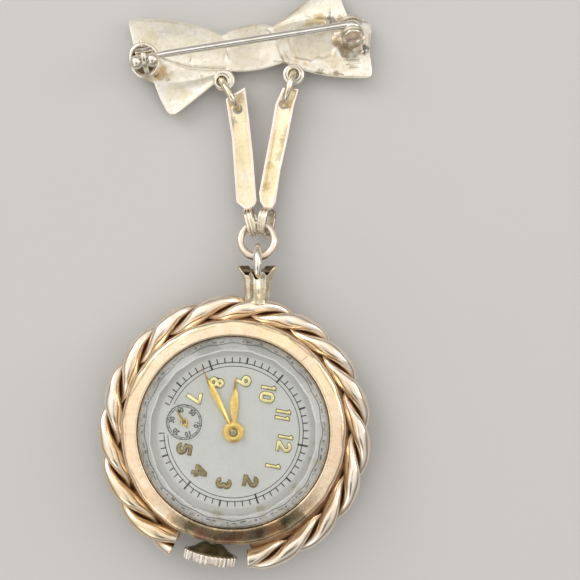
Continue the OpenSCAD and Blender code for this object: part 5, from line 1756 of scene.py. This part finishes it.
def makeCap():
    cfg = capSettings
    # The section runs up the outside, over the lip and down the inside
    outside, overLip = cfg["stations"]

    def lipHeight(turn):
        # High at both sides; in front each lobe's near lip is lower, so that its hollow shows
        side = abs(cos(turn))
        if sin(turn) > 0:
            return table(cfg["nearLip"], side)
        return mix(cfg["backTall"], cfg["tall"], ease((side - 0.16) / 0.34))

    def place(along, across):
        turn = tau * along
        lip = lipHeight(turn)
        side = abs(cos(turn))
        if across < outside:
            share, inset = across / outside, 0
        elif across < overLip:
            over = (across - outside) / (overLip - outside)
            share, inset = 1 + 0.02 * sin(pi * over), cfg["wall"] * over
        else:
            share, inset = 1 - (across - overLip) / (1 - overLip) * cfg["deep"], cfg["wall"]
        height = lip * share
        radius = table(cfg["outer"], height / cfg["tall"])
        # The lobes flare and curl, the middle stays closer to the bail
        curl = ease((height / cfg["tall"] - 0.72) / 0.28)
        radius += 0.10 * curl * side - 0.16 * (1 - side) * ease((height / cfg["tall"] - 0.4) / 0.3)
        flute = 0.085 * cos(7 * turn + 0.6) * ease(height / 1.2) * (1 - 0.4 * curl)
        radius += flute - inset
        if across > 0.97:
            radius *= max(0.0, (1 - across) / 0.03)
        y = cfg["foot"] + height - (0.22 * max(0, curl - 0.6) / 0.4 if inset == 0 else 0)
        x, z = onCircle(radius, turn)
        return cfg["x"] + x, y, cfg["height"] + z * 0.98

    cap = closedSweep("pendantCapTulip", 160, 64, place, 60)
    deselectAll()
    bpy.ops.mesh.primitive_cylinder_add(
        vertices=32, radius=cfg["pinRadius"] * mm, depth=cfg["pinLength"] * mm,
        location=(cfg["x"] * mm, cfg["pinY"] * mm, cfg["height"] * mm), rotation=(0, pi / 2, 0))
    crossPin = newPiece("capCrossPin")
    bakeTransform(crossPin)
    bevelEdges(crossPin, 0.06, 3, 50, 45)
    finishPiece(cap, "main", looks["cap"], ["pendant_cap"])
    centre = Vector((cfg["x"] * mm, 0, cfg["height"] * mm))

    def inside(face):
        away = face.center - centre
        return away.x * face.normal.x + away.z * face.normal.z < 0 and face.normal.y < 0.6

    # The inside of the tulip is painted dark: painted shade in the hollow
    paintFaces(cap, looks["hollow"], inside)
    # The cross pin inside the tulip gets the same painted shade
    finishPiece(crossPin, "main", looks["hollow"], ["pendant_cap"])


makeCap()
print("cap made")


# Crown: ribs all round a flat wheel, and a plain cone down to the case

crownSettings = {
    "angle": 259.0,
    "height": 2.9,
    "ribs": 32,
    "columnsPerRib": 10,
    "radius": 2.4,
    "inner": 11.04,
    "outer": 11.92,
    "depth": 0.15,
    # Radius share and place along the stem, from the inner face round the rim to the outer face
    "rim": [(0.18, 0.0), (0.7, 0.0), (0.9, 0.0), (0.965, 0.015), (0.99, 0.06), (1, 0.14), (1, 0.3), (1, 0.5),
            (1, 0.7), (1, 0.86), (0.99, 0.94), (0.965, 0.985), (0.92, 1.0), (0.86, 0.985), (0.8, 0.93),
            (0.7, 0.92), (0.5, 0.95), (0.3, 0.97), (0.15, 0.98), (0.0, 0.98), (0.0, 0.5), (0.1, 0.1),
            (0.18, 0.0)],
    "cone": [(0.42, 10.3), (0.95, 10.3), (1.05, 10.38), (1.6, 10.8), (2.05, 11.0), (2.05, 11.1),
             (0.42, 11.1)],
}


def makeCrown():
    cfg = crownSettings
    outWay = (*onCircle(1, radians(cfg["angle"])), 0)
    rim = cfg["rim"]
    columns, rows = cfg["ribs"] * cfg["columnsPerRib"], len(rim) - 1

    def place(along, across):
        share, deep = rim[round(across * rows)]
        angle = tau * along
        groove = abs(sin(cfg["ribs"] / 2 * angle))
        cutIn = cfg["depth"] * (1 - min(1, groove * 1.35)) ** 0.8 * ease((share - 0.9) / 0.08)
        return *onCircle(cfg["radius"] * share - cutIn, angle), mix(cfg["inner"], cfg["outer"], deep)

    wheel = closedSweep("crownWheel", columns, rows, place, 40)
    frameMap(wheel, (0, 0, cfg["height"]), (0, 0, 1), outWay)
    finishPiece(wheel, "crown", looks["crown"], ["crown"])
    # The cone is painted dark: tarnish, and painted shade under the bezel
    cone = latheProfile("crownCone", cfg["cone"], 96)
    bevelEdges(cone, 0.05, 2, 30, 45)
    frameMap(cone, (0, 0, cfg["height"]), (0, 0, 1), outWay)
    finishPiece(cone, "crown", looks["cone"], ["crown"])


makeCrown()
print("crown made")


# CAD nodes that keep their own shape

for nodeName, look in (("movement", "steel"), ("dial", "dial"), ("crown_stem", "steel")):
    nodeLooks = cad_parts[nodeName].data.materials
    nodeLooks.clear()
    nodeLooks.append(looks[look])
print("CAD nodes painted")


# Studio: pale floor, a soft bright dome and three soft boxes

studio = {
    "middle": (0.005, 0.012),
    "floorSize": 0.9,
    "floorDrop": 0.02,
    "floorColor": (0.60, 0.595, 0.585),
    "zenithBright": 1.12,
    "horizonBright": 0.26,
    "horizonBand": (0.1, 0.86),
    "windowWay": (-0.5, 0.85, 0),
    "windowShare": 0.3,
    "darkLobes": [((0.0, -0.05, 1.0), 0.9978, 0.9945, 0.75), ((0.02, -0.46, 0.9), 0.985, 0.945, 0.84)],
    "boxes": [((-150, 170, 150), 130, 2.6, (1.0, 0.97, 0.92)),
              ((190, 60, 120), 110, 1.9, (1.0, 0.95, 0.88)),
              ((-120, -150, 110), 90, 1.1, (1.0, 0.96, 0.92))],
}


def makeDome():
    world = bpy.data.worlds.new("softDome")
    bpy.context.scene.world = world
    world.use_nodes = True
    tree = world.node_tree
    tree.nodes.clear()
    unit = vectorNode(tree, "NORMALIZE", addNode(tree, "ShaderNodeTexCoord").outputs["Generated"])
    split = addNode(tree, "ShaderNodeSeparateXYZ", {0: unit}).outputs
    bright = rangeNode(tree, split["Z"], *studio["horizonBand"], studio["horizonBright"],
                       studio["zenithBright"])
    toward = vectorNode(tree, "DOT_PRODUCT", unit, Vector(studio["windowWay"]).normalized())
    bright = times(tree, bright, plus(tree, times(tree, toward, studio["windowShare"]), 1.0))
    for way, inner, outer, depth in studio["darkLobes"]:
        facing = vectorNode(tree, "DOT_PRODUCT", unit, Vector(way).normalized())
        bright = times(tree, bright, rangeNode(tree, facing, outer, inner, 1.0, 1.0 - depth))
    light = addNode(tree, "ShaderNodeBackground", {"Color": (1.0, 0.98, 0.95, 1), "Strength": bright})
    addNode(tree, "ShaderNodeOutputWorld", {"Surface": light.outputs[0]})


def makeStudio():
    bpy.context.scene.view_settings.view_transform = "Standard"
    deselectAll()
    bpy.ops.mesh.primitive_plane_add(size=studio["floorSize"],
                                     location=(*studio["middle"], -studio["floorDrop"] * mm))
    floor = newPiece("studioFloor")
    base = studio["floorColor"]
    floor.data.materials.append(plainMaterial("floorPale", base, [v * 0.97 for v in base], 40.0, 0.8))
    for place, size, radiance, color in studio["boxes"]:
        spot = Vector(place) * mm
        bpy.ops.object.light_add(type="AREA", location=spot)
        box = bpy.context.active_object
        aim = Vector((*studio["middle"], 0)) - spot
        box.rotation_euler = aim.to_track_quat("-Z", "Y").to_euler()
        box.data.size = size * mm
        box.data.energy = radiance * pi * (size * mm) ** 2
        box.data.color = color


makeDome()
makeStudio()
print("studio lit")
